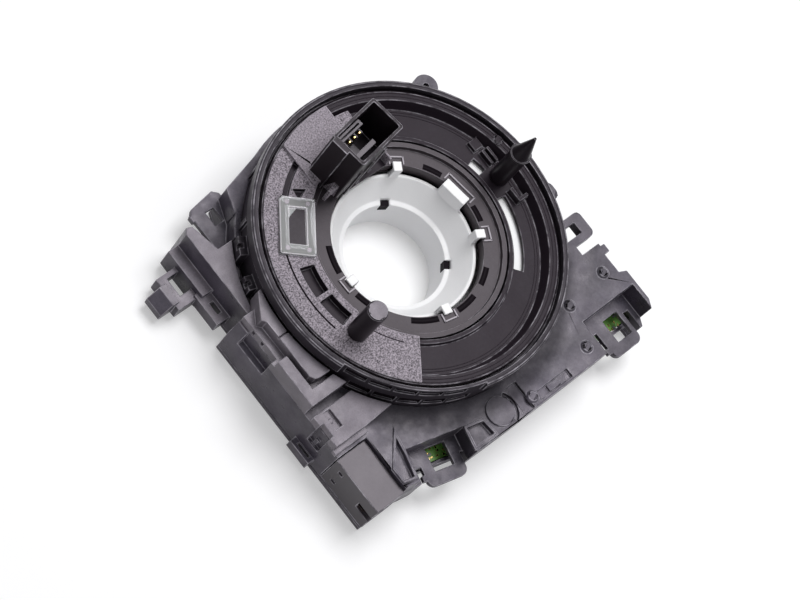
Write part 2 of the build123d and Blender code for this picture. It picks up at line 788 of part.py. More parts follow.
# Fork sensors on the board, their jaws round the code disc's edge
with BuildPart() as fork_sensors:
    for angle in fork_angles:
        for r_in, r_out, low, high in (
            (code_r - 4.5, code_r + 4.0, board_top, code_low - run_gap),
            (code_r - 4.5, code_r + 4.0, code_low + code_thick + run_gap, flange_low - run_gap),
            (code_r + run_gap, code_r + 4.0, board_top, flange_low - run_gap),
        ):
            with BuildSketch(Plane.XY.offset(low)):
                with Locations(Location((*polar((r_in + r_out) / 2, angle), 0), (0, 0, angle))):
                    Rectangle(r_out - r_in, 6.0)
            extrude(amount=high - low)

save(fork_sensors, "fork_sensors")

# Control chip and buffer capacitors on the board
with BuildPart() as control_chip:
    block(10.0, 20.0, -51.0, -41.0, board_top, board_top + 1.6)
save(control_chip, "control_chip")
with BuildPart() as capacitors:
    with BuildSketch(Plane.XY.offset(board_top)):
        with Locations((-30.0, -40.0), (-37.0, -35.0)):
            Circle(2.5)
    extrude(amount=4.0)
save(capacitors, "capacitors")

# Carrier: a ring under the disc, with axles and feet between them
carrier_top = disc_low - run_gap
carrier_low = carrier_top - carrier_thick
path_r = (drum_r + collar_in) / 2
roller_angles = [360 / roller_count * number + 35 for number in range(roller_count)]
with BuildPart() as cable_carrier:
    with BuildSketch(Plane.XY.offset(carrier_low)):
        Circle(collar_in - ledge_wide - 0.6)
        Circle(drum_r + 0.8, mode=Mode.SUBTRACT)
    extrude(amount=carrier_thick)
    for angle in roller_angles:
        with BuildSketch(Plane.XY.offset(floor_top + 1.0)):
            with Locations(polar(path_r, angle)):
                Circle(axle_r)
        extrude(amount=carrier_low - floor_top - 1.0)
        with BuildSketch(Plane.XY.offset(floor_top + run_gap)):
            with Locations(polar(path_r, angle + 45)):
                Circle(foot_r)
        extrude(amount=carrier_low - floor_top - run_gap)

save(cable_carrier, "cable_carrier")

# Rollers on the carrier's axles, standing on the cassette floor
for number, angle in enumerate(roller_angles, start=1):
    with BuildPart() as roller:
        with BuildSketch(Plane.XY.offset(floor_top + run_gap)):
            with Locations(polar(path_r, angle)):
                Circle(roller_r)
                Circle(axle_r + fit_gap, mode=Mode.SUBTRACT)
        extrude(amount=carrier_low - floor_top - 2 * run_gap)
    save(roller, f"roller_{number}")


def ribbon_wraps(r_start, turns, start):
    """A strip wound outwards by half circles whose centre steps from side to side."""
    with BuildSketch() as wraps:
        with BuildLine():
            for edge_shift in (0, ribbon_thick):
                point = Vector(r_start + edge_shift, 0).rotate(Axis.Z, start)
                first = point
                for half_turn in range(2 * turns):
                    radius = r_start + edge_shift + ribbon_pitch / 4 + half_turn * ribbon_pitch / 2
                    way = 1 if half_turn % 2 == 0 else -1
                    centre = Vector(-way * ribbon_pitch / 4, 0).rotate(Axis.Z, start)
                    CenterArc(centre, radius, start + 180 * half_turn, 180)
                    point = centre - Vector(way * radius, 0).rotate(Axis.Z, start)
                if edge_shift == 0:
                    inner_ends = (first, point)
                else:
                    Line(inner_ends[0], first)
                    Line(inner_ends[1], point)
        make_face()
    return wraps.sketch


# Ribbon cable: wraps on the drum, wraps in the cassette and the turn round the first roller
wrap_space = ribbon_turns * ribbon_pitch + ribbon_thick
inner_wraps = ribbon_wraps(drum_r + 0.3, ribbon_turns, 0)
outer_wraps = ribbon_wraps(collar_in - 0.3 - wrap_space, ribbon_turns, 180)
with BuildPart() as ribbon_inner:
    with BuildSketch(Plane.XY.offset(ribbon_low)):
        add(inner_wraps)
    extrude(amount=ribbon_height)
save(ribbon_inner, "ribbon_inner")
with BuildPart() as ribbon_outer:
    with BuildSketch(Plane.XY.offset(ribbon_low)):
        add(outer_wraps)
    extrude(amount=ribbon_height)
save(ribbon_outer, "ribbon_outer")
turn_angle = roller_angles[0]
turn_centre = polar(path_r, turn_angle)
with BuildPart() as ribbon_turn:
    with BuildSketch(Plane.XY.offset(ribbon_low)):
        with BuildLine():
            outer_arc = CenterArc(turn_centre, roller_r + 2 * 0.3, turn_angle, 180)
            inner_arc = CenterArc(turn_centre, roller_r + 0.3, turn_angle, 180)
            Line(outer_arc @ 0, inner_arc @ 0)
            Line(outer_arc @ 1, inner_arc @ 1)
        make_face()
    extrude(amount=ribbon_height)
save(ribbon_turn, "ribbon_turn")

# Tower housing: a plateau over the disc, a raised shelf and the open socket shroud
plateau = ring_sector(disc_bore_r, plateau_r, plateau_start, plateau_end)
shelf = rectangle(shelf_left, shelf_right, 30.0, 50.0)
shelf_end = rectangle(shelf_right - 1, shelf_right + shelf_step, 40.0, 46.5)
groove = ring_sector(groove_in, groove_out, groove_start, groove_end)
pocket_low = ring_sector(zone_in + 0.4, zone_in + 5.4, 181.0, 195.0)
pocket_high = ring_sector(zone_in + 0.4, zone_in + 5.4, 164.0, 178.5)
pocket_side = polygon((-24.0, 32.6), (-20.2, 30.2), (-24.6, 28.5))
tower_place = Location((tower_x, tower_y, 0), (0, 0, tower_angle))
half_long = tower_long / 2
half_wide = tower_wide / 2
shroud = tower_place * rectangle(-half_long, half_long, -half_wide, half_wide, 1.0)
shroud_in = tower_place * rectangle(
    tower_wall - half_long, half_long - tower_wall, tower_wall - half_wide, half_wide - tower_wall, 0.5)
lens_place = Location((*polar(lens_r, lens_polar), 0), (0, 0, lens_angle))


def on_disc(shape, top):
    """A shape that stands on the zones of the disc, up to a height, in the open part."""
    for r_in, r_out, low in (
        (disc_bore_r, zone_in, zone_top + lip_rise),
        (zone_in, zone_out, zone_top),
        (zone_out - 1.0, plateau_r, outer_top),
    ):
        raised(within(outside(shape, r_in), disc(r_out)), low, top)


with BuildPart() as tower_housing:
    on_disc(plateau, plateau_top)
    raised(within(shelf_end, disc(zone_out)), zone_top, plateau_top)
    on_disc(shelf, shelf_top)
    raised(groove, plateau_top - 1.4, plateau_top + 0.6, Mode.SUBTRACT)
    raised(pocket_low, plateau_top - 3.0, plateau_top + 1, Mode.SUBTRACT)
    raised(pocket_high, plateau_top - 3.0, plateau_top + 1, Mode.SUBTRACT)
    raised(pocket_side, plateau_top - 2.0, plateau_top + 1, Mode.SUBTRACT)
    # Well under the clear window, and the seat of the guide pin's spigot
    set_block(
        lens_place, 2.8 - lens_long / 2, lens_long / 2 - 2.8, 2.5 - lens_wide / 2, lens_wide / 2 - 2.5,
        plateau_top - 3.0, plateau_top + 1, Mode.SUBTRACT,
    )
    with BuildSketch(Plane.XY.offset(plateau_top - spigot_long)):
        with Locations(flat_pin_place):
            Circle(spigot_r + fit_gap)
    extrude(amount=spigot_long, mode=Mode.SUBTRACT)
    # Socket shroud over the hub ring, with its foot plate, gusset and side bulge
    raised(shroud, tower_low, tower_top)
    block(-7.0, 9.7, 23.0, 31.0, foot_low, foot_low + foot_thick)
    block(9.0, 9.7, 23.0, 27.0, foot_low, foot_low + 5.0)
    set_block(tower_place, -half_long - 1.2, 1 - half_long, -0.6, 5.6, tower_low, tower_top)
    set_block(tower_place, half_long - 1, half_long + 1.4, -3.8, -1.4, tower_low, tower_top - 6.0)
    raised(shroud_in, tower_floor, tower_top, Mode.SUBTRACT)
    # Ribs on the shroud's front and its outer end
    for rib_u in (-7.0, -1.0, 5.0):
        set_block(
            tower_place, rib_u, rib_u + 1.2, -half_wide - 0.9, 0.5 - half_wide,
            tower_low, tower_top - 9.0,
        )
    set_block(tower_place, -half_long - 3.5, 1 - half_long, -4.4, -3.2, tower_low, shelf_top + 3.0)

save(tower_housing, "tower_housing")

# Contact carrier in the socket: a base with two slotted bars, and the contacts between them
with BuildPart() as contact_carrier:
    set_block(tower_place, carrier_u0, carrier_u1, carrier_v0, carrier_v1, tower_floor, tower_floor + 2)
    set_block(tower_place, carrier_u0, carrier_u1, bar_v0, carrier_v1, tower_floor + 2, bar_top)
    set_block(tower_place, carrier_u0, carrier_u1 - 1.5, carrier_v0, carrier_v0 + 1.6, tower_floor + 2, bar_top)
    set_block(
        tower_place, carrier_u0 + 1, carrier_u1 - 1, bar_v0 + 0.8, bar_v0 + 1.3,
        bar_top - 4.0, bar_top + 1, Mode.SUBTRACT,
    )
    for number in range(contact_count):
        u0 = carrier_u0 + 1.2 + number * contact_pitch
        set_block(tower_place, u0 + 1.4, u0 + 2.0, bar_v0 - 1.6, bar_v0, tower_floor + 2, bar_top - 2.0)

save(contact_carrier, "contact_carrier")
with BuildPart() as tower_pins:
    for number in range(contact_count):
        u0 = carrier_u0 + 1.2 + number * contact_pitch
        set_block(tower_place, u0, u0 + 0.8, bar_v0 - 1.4, bar_v0 - 0.8, tower_floor + 2, bar_top - 1.0)
save(tower_pins, "tower_pins")

# Clear window over the plateau
with BuildPart() as clear_window:
    with BuildSketch(Plane.XY.offset(plateau_top)):
        with Locations(lens_place):
            RectangleRounded(lens_long, lens_wide, 0.8)
            Rectangle(lens_long - 7.0, lens_wide - 6.0, mode=Mode.SUBTRACT)
    extrude(amount=1.4)
    with BuildSketch(Plane.XY.offset(plateau_top)):
        with Locations(lens_place):
            Rectangle(lens_long - 6.8, lens_wide - 5.8)
    extrude(amount=0.6)
save(clear_window, "clear_window")

# Centring pin with a cone head, and flat-topped guide pin, each with a spigot
with BuildPart() as centring_pin:
    with BuildSketch(Plane.XY.offset(disc_low)):
        with Locations((cone_pin_x, 0)):
            Circle(spigot_r)
    extrude(amount=disc_thick)
    with BuildSketch(Plane.XY.offset(zone_top)):
        with Locations((cone_pin_x, 0)):
            Circle(cone_pin_r)
    extrude(amount=cone_pin_shank_top - zone_top)
    with BuildSketch(Plane.XY.offset(cone_pin_shank_top)):
        with Locations((cone_pin_x, 0)):
            Circle(cone_pin_r + 0.4)
    extrude(amount=1.0)
    with BuildSketch(Plane.XY.offset(cone_pin_shank_top + 1.0)):
        with Locations((cone_pin_x, 0)):
            Circle(cone_pin_r - 0.1)
    extrude(amount=cone_pin_tip - cone_pin_shank_top - 1.0, taper=cone_taper)
save(centring_pin, "centring_pin")
with BuildPart() as guide_pin:
    with BuildSketch(Plane.XY.offset(plateau_top - spigot_long)):
        with Locations(flat_pin_place):
            Circle(spigot_r)
    extrude(amount=spigot_long)
    with BuildSketch(Plane.XY.offset(plateau_top)):
        with Locations(flat_pin_place):
            Circle(flat_pin_r)
    extrude(amount=flat_pin_top - plateau_top)
    chamfer(guide_pin.edges().group_by(Axis.Z)[-1], 0.4)
save(guide_pin, "guide_pin")

# Terminal block of the ribbon's inner end, on the flange between hub skirt and latches
rotor_terminal_shape = ring_sector(bore_r + ring_wall + 8.6, skirt_in, 80, 100)
with BuildPart() as rotor_terminal:
    with BuildSketch(Plane.XY.offset(drum_low)):
        add(rotor_terminal_shape)
    extrude(amount=8.0)
save(rotor_terminal, "rotor_terminal")

# Left side box that leads the ribbon's outer end down to the board: a base with a raised bracket,
# a pad in its bend and a taller back part
box_base = outside(rectangle(left_x, -45.0, -24.3, -6.3), side_r)
box_back = outside(rectangle(left_x + 2.2, -45.0, -7.0, left_back_y), side_r)
bracket = outside(rectangle(left_x, -44.0, -24.3, -20.0), side_r)
pad_corners = [(-56.3, -1.6), (-56.3, -16.6), (-55.2, -18.2), (-53.5, -18.7), (-45.0, -18.7), (-45.0, -1.6)]
pad = outside(polygon(*pad_corners), side_r)
plate_back = [(-56.3, -1.9), (-56.4, 4.1), (-57.7, 5.4), (-52.3, 13.3), (-45.0, 13.3), (-45.0, -1.9)]
box_plate = outside(polygon(*plate_back), side_r)
with BuildPart() as side_box:
    raised(box_base, deck_top, channel_floor)
    raised(box_back, deck_top, channel_floor)
    raised(bracket, deck_top, side_top)
    block(left_x, left_x + 3.7, -24.3, -7.5, deck_top, side_top)
    raised(pad, deck_top, pad_top)
    raised(box_plate, deck_top, pad_top)
    # Cut between pad and back part, slots in the wall, mouth for the cable terminal
    block(-57.0, -48.0, -2.1, -1.6, pad_top - 1.2, pad_top + 1, Mode.SUBTRACT)
    for slot_y in (0.2, 4.4):
        block(
            left_x + 1.0, left_x + 3.4, slot_y - 0.5, slot_y + 0.5,
            deck_top + 0.6, channel_floor - 0.8, Mode.SUBTRACT,
        )
    block(-side_r, -45.0, terminal_y0 + 0.1, terminal_y1 - 0.1, deck_top - 1, terminal_top, Mode.SUBTRACT)
save(side_box, "side_box")
with BuildPart() as cable_terminal:
    block(-side_r, -collar_in - 0.2, terminal_y0 + 0.2, terminal_y1 - 0.2, deck_top, terminal_top - 0.2)
save(cable_terminal, "cable_terminal")

# Connector cover plate beside the side box, with a slot, a notch and a lower lip
lid = outside(polygon((left_x, -26.8), (-44.9, -26.8), (-36.5, -37.4), (-48.5, -38.1), (left_x, -38.1)), side_r)
with BuildPart() as plug_cover:
    raised(lid, deck_top, lid_top)
    block(left_x - 0.8, -48.5, -39.8, -38.0, deck_top, lid_top - 2.1)
    block(-57.7, -55.1, -33.8, -27.5, lid_top - 1.4, lid_top + 1, Mode.SUBTRACT)
    block(-57.7, -56.6, -31.4, -30.0, lid_top - 1.5, lid_top)
    block(left_x - 1, left_x + 1.4, -34.9, -30.1, deck_top - 1, lid_top + 1, Mode.SUBTRACT)
save(plug_cover, "plug_cover")
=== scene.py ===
import json
import math

import bmesh
import bpy
from bpy.props import FloatProperty, FloatVectorProperty, PointerProperty
from mathutils import Matrix, Vector


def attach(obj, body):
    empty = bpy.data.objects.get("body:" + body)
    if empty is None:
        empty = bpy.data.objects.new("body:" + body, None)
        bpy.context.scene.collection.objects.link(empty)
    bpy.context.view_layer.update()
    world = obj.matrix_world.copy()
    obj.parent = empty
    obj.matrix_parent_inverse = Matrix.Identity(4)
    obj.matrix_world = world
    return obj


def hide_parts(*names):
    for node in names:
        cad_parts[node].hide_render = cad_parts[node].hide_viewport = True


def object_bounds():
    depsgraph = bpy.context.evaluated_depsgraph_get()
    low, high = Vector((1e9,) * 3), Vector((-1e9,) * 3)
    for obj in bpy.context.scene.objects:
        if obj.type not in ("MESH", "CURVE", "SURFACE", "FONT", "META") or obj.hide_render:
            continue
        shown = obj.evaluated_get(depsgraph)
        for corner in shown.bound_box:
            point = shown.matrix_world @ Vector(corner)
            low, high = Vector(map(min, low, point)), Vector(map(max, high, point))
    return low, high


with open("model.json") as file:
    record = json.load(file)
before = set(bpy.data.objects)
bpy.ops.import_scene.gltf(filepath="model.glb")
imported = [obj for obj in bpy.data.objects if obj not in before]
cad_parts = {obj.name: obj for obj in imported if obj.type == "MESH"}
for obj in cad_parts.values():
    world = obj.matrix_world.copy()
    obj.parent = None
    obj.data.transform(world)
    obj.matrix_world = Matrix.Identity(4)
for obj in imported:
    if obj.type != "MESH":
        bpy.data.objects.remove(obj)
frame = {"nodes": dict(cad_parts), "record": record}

bl_info = {
    "name": "Steering clock spring",
    "version": (1, 0, 0),
    "blender": (4, 5, 0),
    "location": "View3D > Sidebar > Clock Spring",
    "description": "Finishes the pieces of a steering clock spring around its CAD frame",
    "category": "Object",
}

MM = 0.001
MERGE_DISTANCE = 0.002 * MM
FLAT_ANGLE = math.radians(0.6)
SQUARE_ANGLE = math.radians(60)
BEVEL_ANGLE = math.radians(28)
BEVEL_SEGMENTS = 3
SMOOTH_ANGLE = math.radians(52)
NORMAL_WEIGHT = 60
BODY_OF = {
    node: body
    for body, nodes in frame["record"]["behaviour"]["bodies"].items()
    for node in nodes
}
SLOT_OF = {part["node"]: part["material_slot"] for part in frame["record"]["subparts"]}
CAD_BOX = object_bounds()

# Places on the part, in millimetres and in degrees round the steering axis

TOWER_PLACE = (-3.9, 30.8)
TOWER_TURN = 9.0
LATCHES = ((57.6, 3.6), (-27.4, 3.6), (181.0, 3.6), (-101.0, 3.6), (9.0, 10.0))
CLIP_GAP = 0.55
CLIP_LINE = 0.22
CLIP_RADII = (25.6, 27.95, 28.4)
CLIP_LEVELS = (25.4, 26.0)
# Angles, from and to, of the dark arcs of painted shade in the hub's windows
HUB_WINDOWS = (
    (-129, -109), (-93, -76), (-66, -52), (152, 172), (190, 206), (24, 38), (66, 80), (-18, -6)
)
HUB_WINDOW_SECTION = {"radius": 26.7, "across": 1.9, "height": 0.12, "level": 25.5}
RING_HOLES = (59.4, -42.9)
# The radii, half width, offset, low and high level of a dark floor of painted shade in a square
# hole
HOLE_FLOOR = (16.9, 18.85, 1.46, 0.0, 10.05, 13.2)
WINDOW_RADIUS = 38.2
WINDOW_ANGLE = math.radians(144.8)
WINDOW_PLACE = (WINDOW_RADIUS * math.cos(WINDOW_ANGLE), WINDOW_RADIUS * math.sin(WINDOW_ANGLE))
WINDOW_TURN = 51.5
# Corners and levels of a dark plate of painted shade in the well under the clear window
WINDOW_SHADE_CORNERS = ((-5.9, -2.7), (5.9, -2.7), (5.9, 0.2), (2.6, 2.7), (-5.9, 2.7))
SHADE_PANE_LEVELS = (30.95, 31.06)
WINDOW_MARKS = ((-7.6, -3.4), (-7.6, 3.4), (7.6, -3.4), (7.6, 3.4))
MARK_LEVEL = 31.8
WINDOW_MARK = {"sides": 20, "radius": 0.75 * MM, "depth": 0.1 * MM}
PIN_SIDE = 0.64
PIN_FORWARD = 0.5
PIN_TIP = 1.0
BOARD_SPOTS = {"right_bay": (52.25, -60.15, 2.5), "left_bay": (-28.9, -58.4, 2.5)}
BOARD_REACH = 7.5
# Things on the board: ending of the name, finish, node of the slot, seed, density and size
BOARD_THINGS = (
    ("_pads", "contact_gold", "connector_pins", 3, 600000.0, (0.9, 0.5, 0.12)),
    ("_parts", "clip_grey", "circuit_board", 8, 90000.0, (1.3, 0.7, 0.7)),
)
# Blocks on the collar's left wall: name, finish, count, radius, first angle, size and level
WALL_STEP = 5.2
WALL_BLOCKS = (
    # The slots are thin dark plates of painted shade; the ribs are moulded
    ("wall_slots", "deep_black", 5, 51.42, 170.5, (0.16, 2.8, 4.2), 21.6),
    ("wall_ribs", "cassette_black", 6, 51.6, 167.9, (0.7, 0.7, 7.0), 21.4),
)
# Lines on arcs: name, finish, node, radius, start, sweep, across, height, level, lines and pitch
DISC_LINES = (
    ("outer_band_lines", "disc_black", "rotor_disc", 47.2, -128, 236, 0.22, 0.16, 29.82, 2, 1.1),
    ("zone_line", "disc_black", "rotor_disc", 42.6, -128, 236, 0.2, 0.16, 26.02, 2, 0.9),
    # A dark band of painted shade in the gap between the disc and the rim
    ("disc_gap_band", "deep_black", "rotor_disc", 49.05, 0.0, 359.9, 0.7, 0.12, 29.62, 1, 0.0),
    ("rim_line", "cassette_black", "stator_cassette", 51.5, -100, 300, 0.3, 0.16, 31.0, 1, 0.0),
)
PLATEAU_LINES = (
    # A dark line of painted shade in the plateau's groove
    ("plateau_groove", "deep_black", "tower_housing", 43.1, 157, 36, 0.55, 0.1, 30.4, 1, 0.0),
    ("plateau_line", "disc_black", "tower_housing", 36.4, 200, 24, 0.35, 0.1, 30.4, 1, 0.0),
)
SCREW_APART = 8.0
# Dark prisms of painted shade in the screws' sockets
SCREW_SOCKET_SHADE = {"sides": 6, "radius": 1.25 * MM, "depth": 0.12 * MM}
SAME_LEVEL = 0.05
INSIDE_NODES = (
    "ribbon_outer", "ribbon_turn", "ribbon_inner", "cable_carrier", "rotor_terminal", "code_disc",
    "roller_1", "roller_2", "roller_3", "roller_4",
)
INSIDE_EDGE_SHARE = 0.5

# Places with another finish: limits in millimetres, degrees and, for up, the normal's height
FAR = 1000.0
TOWER_WALL = {"along": (-11.8, 11.8), "across": (-8.2, 8.2), "z": (31.7, FAR)}
SHELF = {"x": (-18.5, 3.5), "y": (33.5, FAR), "z": (30.5, 32.5), "up": (0.5, FAR)}
# Pockets below the plateau, darkened with disc_black as painted shade
PLATEAU_POCKET_SHADE = {"z": (26.2, 30.05), "radius": (-FAR, 44.0)}
# Upward faces of the housing's left shoulder, lightened with cover_grey as a painted highlight
LEFT_SHOULDER_HIGHLIGHT = {"x": (-FAR, -47.0), "y": (1.0, FAR), "z": (5.5, FAR), "up": (0.35, FAR)}
# Top of the flat pin, lightened with cover_grey as a painted highlight
FLAT_PIN_TOP_HIGHLIGHT = {"z": (47.0, FAR), "up": (0.9, FAR)}
# Inner walls of the collar's windows, darkened as painted shade
COLLAR_WINDOW_SHADE = {"radius": (50.2, 51.2), "angle": (204, 262), "z": (19.4, 29.8), "up": (-0.2, 0.2)}


# Properties that a user would change

COLOURS = {
    "housing": ("Control housing and its rear cover", (0.046, 0.040, 0.054)),
    "cassette": ("Round collar round the disc", (0.026, 0.022, 0.028)),
    "disc": ("Stepped turning disc", (0.017, 0.012, 0.017)),
    "hub": ("Ring between the disc and the white ring", (0.048, 0.040, 0.045)),
    "plateau": ("Spark-eroded top of the tower moulding", (0.245, 0.218, 0.248)),
    "covers": ("Side box and plug cover", (0.135, 0.120, 0.140)),
    "connector": ("Board connector shroud", (0.030, 0.025, 0.031)),
    "tower": ("Smooth walls of the socket tower", (0.016, 0.012, 0.015)),
    "contact_block": ("Carrier of the tower contacts", (0.045, 0.040, 0.046)),
    "pins": ("Centring pin and guide pin", (0.012, 0.009, 0.012)),
    "ring": ("White ring on the steering column", (0.90, 0.90, 0.91)),
    "board": ("Solder resist of the circuit board", (0.22, 0.50, 0.10)),
    "gold": ("Plated contacts", (0.72, 0.50, 0.20)),
    "steel": ("Zinc-plated screws", (0.50, 0.50, 0.52)),
    "ribbon": ("Film of the ribbon cable", (0.40, 0.20, 0.05)),
    "window": ("Clear window", (0.93, 0.94, 0.95)),
}


def number(name, description, default, **kind):
    """A number that isn't negative."""
    return FloatProperty(name=name, description=description, default=default, min=0.0, **kind)


LENGTH = {"unit": "LENGTH", "precision": 5}
DEPTH = {"unit": "LENGTH", "precision": 6}


class CLOCK_PG_colours(bpy.types.PropertyGroup):
    """Colours of the mouldings and the metal."""

    __annotations__ = {
        key: FloatVectorProperty(name=key.replace("_", " ").capitalize(), description=description,
                                 default=colour, subtype="COLOR", min=0.0, max=1.0)
        for key, (description, colour) in COLOURS.items()
    }


class CLOCK_PG_surface(bpy.types.PropertyGroup):
    """Sizes of edges and of the moulded grain."""

    edge: number("Edge", "Rounding of the moulded edges", 0.30 * MM, **LENGTH)
    fine_edge: number("Fine edge", "Rounding of small pieces' edges", 0.14 * MM, **LENGTH)
    grain_depth: number("Grain depth", "Depth of the fine grain", 0.012 * MM, **DEPTH)
    grain_per_metre: number("Grain", "Fine grains along a metre", 2600.0)
    spark_depth: number("Spark depth", "Depth of the spark-eroded grain", 0.05 * MM, **DEPTH)
    spark_per_metre: number("Spark grain", "Coarse grains along a metre", 1900.0)


class CLOCK_PG_stage(bpy.types.PropertyGroup):
    """Camera, floor and lights."""

    lens: number("Lens", "Focal length in millimetres", 115.14)
    distance: number("Distance", "Camera to the middle of the rim", 0.7868, **LENGTH)
    floor_drop: number("Floor drop", "Gap between the part and the floor", 0.0002, **LENGTH)
    world: number("World", "Strength of the even light", 0.32)
    softbox: number("Softbox", "Power of the large lamp above", 9.5, unit="POWER")
    fill: number("Fill", "Power of the low lamp in front", 0.9, unit="POWER")


# Shader groups

COLOUR = "NodeSocketColor"
VALUE = "NodeSocketFloat"
VECTOR = "NodeSocketVector"
MIX_INPUTS = (0, 6, 7)
MIX_OUTPUT = 2
NOISE_CONTRAST = 3.2
NOISE_ROUGHNESS = 0.6
# Painted highlight on rounded edges: its patches, their start, their contrast and the least share
HIGHLIGHT_PATCHES = 230.0
HIGHLIGHT_START = 0.36
HIGHLIGHT_CONTRAST = 3.4
HIGHLIGHT_LEAST = 0.12
GLOSS_PATCHES = 130.0
# Upward film of dust and painted sheen: its patches, its grains and its pale bluish colour
DUST_AND_SHEEN_PATCHES = 90.0
DUST_AND_SHEEN_GRAINS = 900.0
DUST_AND_SHEEN_COLOUR = (0.58, 0.58, 0.68, 1.0)
# Colours of the painted highlight on rounded edges
PALE_EDGE = (0.62, 0.59, 0.65, 1.0)
WHITE_EDGE = (0.9, 0.9, 0.92, 1.0)
BOARD_EDGE = (0.30, 0.34, 0.16, 1.0)
RIBBON_EDGE = (0.6, 0.4, 0.2, 1.0)
METAL_EDGE = (0.95, 0.92, 0.88, 1.0)
WINDOW_EDGE = (0.95, 0.95, 0.97, 1.0)
PLUM_TINT = (1.0, 0.93, 1.0, 1.0)
NO_TINT = (1.0, 1.0, 1.0, 1.0)
CLIP_COLOUR = (0.30, 0.28, 0.31)
# Near-black colour of the plates, bands and floors of painted shade
PAINTED_SHADE_COLOUR = (0.006, 0.004, 0.006)
RIM_COLOUR = (0.93, 0.91, 0.95)
SHELF_LIFT = 1.1
# Painted shade at the collar's foot: its radius, width, reach to the back, fade, least shade and
# dullness
FOOT_RADIUS = 0.0545
FOOT_WIDE = 0.007
FOOT_BACK = 0.040
FOOT_FADE = 0.012
FOOT_SHADE = 0.42
FOOT_DULLNESS = 0.35


def shader_group(name, inputs, outputs):
    """An empty shader group with named sockets, and its input and output nodes."""
    tree = bpy.data.node_groups.new(name, "ShaderNodeTree")
    for socket, kind, default in inputs:
        item = tree.interface.new_socket(name=socket, in_out="INPUT", socket_type=kind)
        item.default_value = default
    for socket, kind in outputs:
        tree.interface.new_socket(name=socket, in_out="OUTPUT", socket_type=kind)
    return tree, tree.nodes.new("NodeGroupInput").outputs, tree.nodes.new("NodeGroupOutput").inputs


def feed(tree, socket, value):
    """Link a socket to a node's first output or to another socket, or set its value."""
    if hasattr(value, "outputs"):
        value = value.outputs[0]
    if hasattr(value, "is_output"):
        tree.links.new(value, socket)
    else:
        socket.default_value = value


def wired(tree, kind, settings=None, **sockets):
    """A node whose sockets, by name, take a link or a value."""
    node = tree.nodes.new(kind)
    for key, value in (settings or {}).items():
        setattr(node, key, value)
    for key, value in sockets.items():
        feed(tree, node.inputs[key.replace("_", " ").title()], value)
    return node


def math_node(tree, operation, *values):
    """The result of a Math node."""
    node = wired(tree, "ShaderNodeMath", {"operation": operation})
    for socket, value in zip(node.inputs, values):
        feed(tree, socket, value)
    return node.outputs[0]


def geo(tree, kind, settings=None, **sockets):
    """A geometry node."""
    return wired(tree, "GeometryNode" + kind, settings, **sockets)


def vector(tree, **axes):
    """A vector from its axes."""
    return wired(tree, "ShaderNodeCombineXYZ", **axes)


def times(tree, *values):
    """The product of two values."""
    return math_node(tree, "MULTIPLY", *values)


def plus(tree, *values):
    """The sum of two values."""
    return math_node(tree, "ADD", *values)


def minus(tree, *values):
    """The difference of two values."""
    return math_node(tree, "SUBTRACT", *values)


def object_point(tree):
    """The object coordinates of the point that is shaded."""
    return tree.nodes.new("ShaderNodeTexCoord").outputs["Object"]


def noise(tree, scale, detail):
    """A noise on object coordinates. Its scale is a number or a socket."""
    node = wired(tree, "ShaderNodeTexNoise", vector=object_point(tree), scale=scale, detail=detail,
                 roughness=NOISE_ROUGHNESS)
    return node.outputs["Fac"]


def around_one(tree, source, amount):
    """A noise spread to 1 minus amount up to 1 plus amount."""
    centred = times(tree, minus(tree, source, 0.5), NOISE_CONTRAST)
    return plus(tree, times(tree, centred, amount), 1.0)


def clamped(tree, value, least):
    """The value kept between least and 1."""
    return math_node(tree, "MINIMUM", math_node(tree, "MAXIMUM", value, least), 1.0)


def grey(tree, value):
    """The value as a colour with three equal channels."""
    node = tree.nodes.new("ShaderNodeCombineColor")
    for channel in node.inputs:
        tree.links.new(value, channel)
    return node.outputs[0]


def mix_colour(tree, blend, factor, first, second):
    """A colour Mix node whose inputs are sockets, colours or numbers."""
    node = wired(tree, "ShaderNodeMix", {"data_type": "RGBA", "blend_type": blend})
    for index, value in zip(MIX_INPUTS, (factor, first, second)):
        feed(tree, node.inputs[index], value)
    return node.outputs[MIX_OUTPUT]


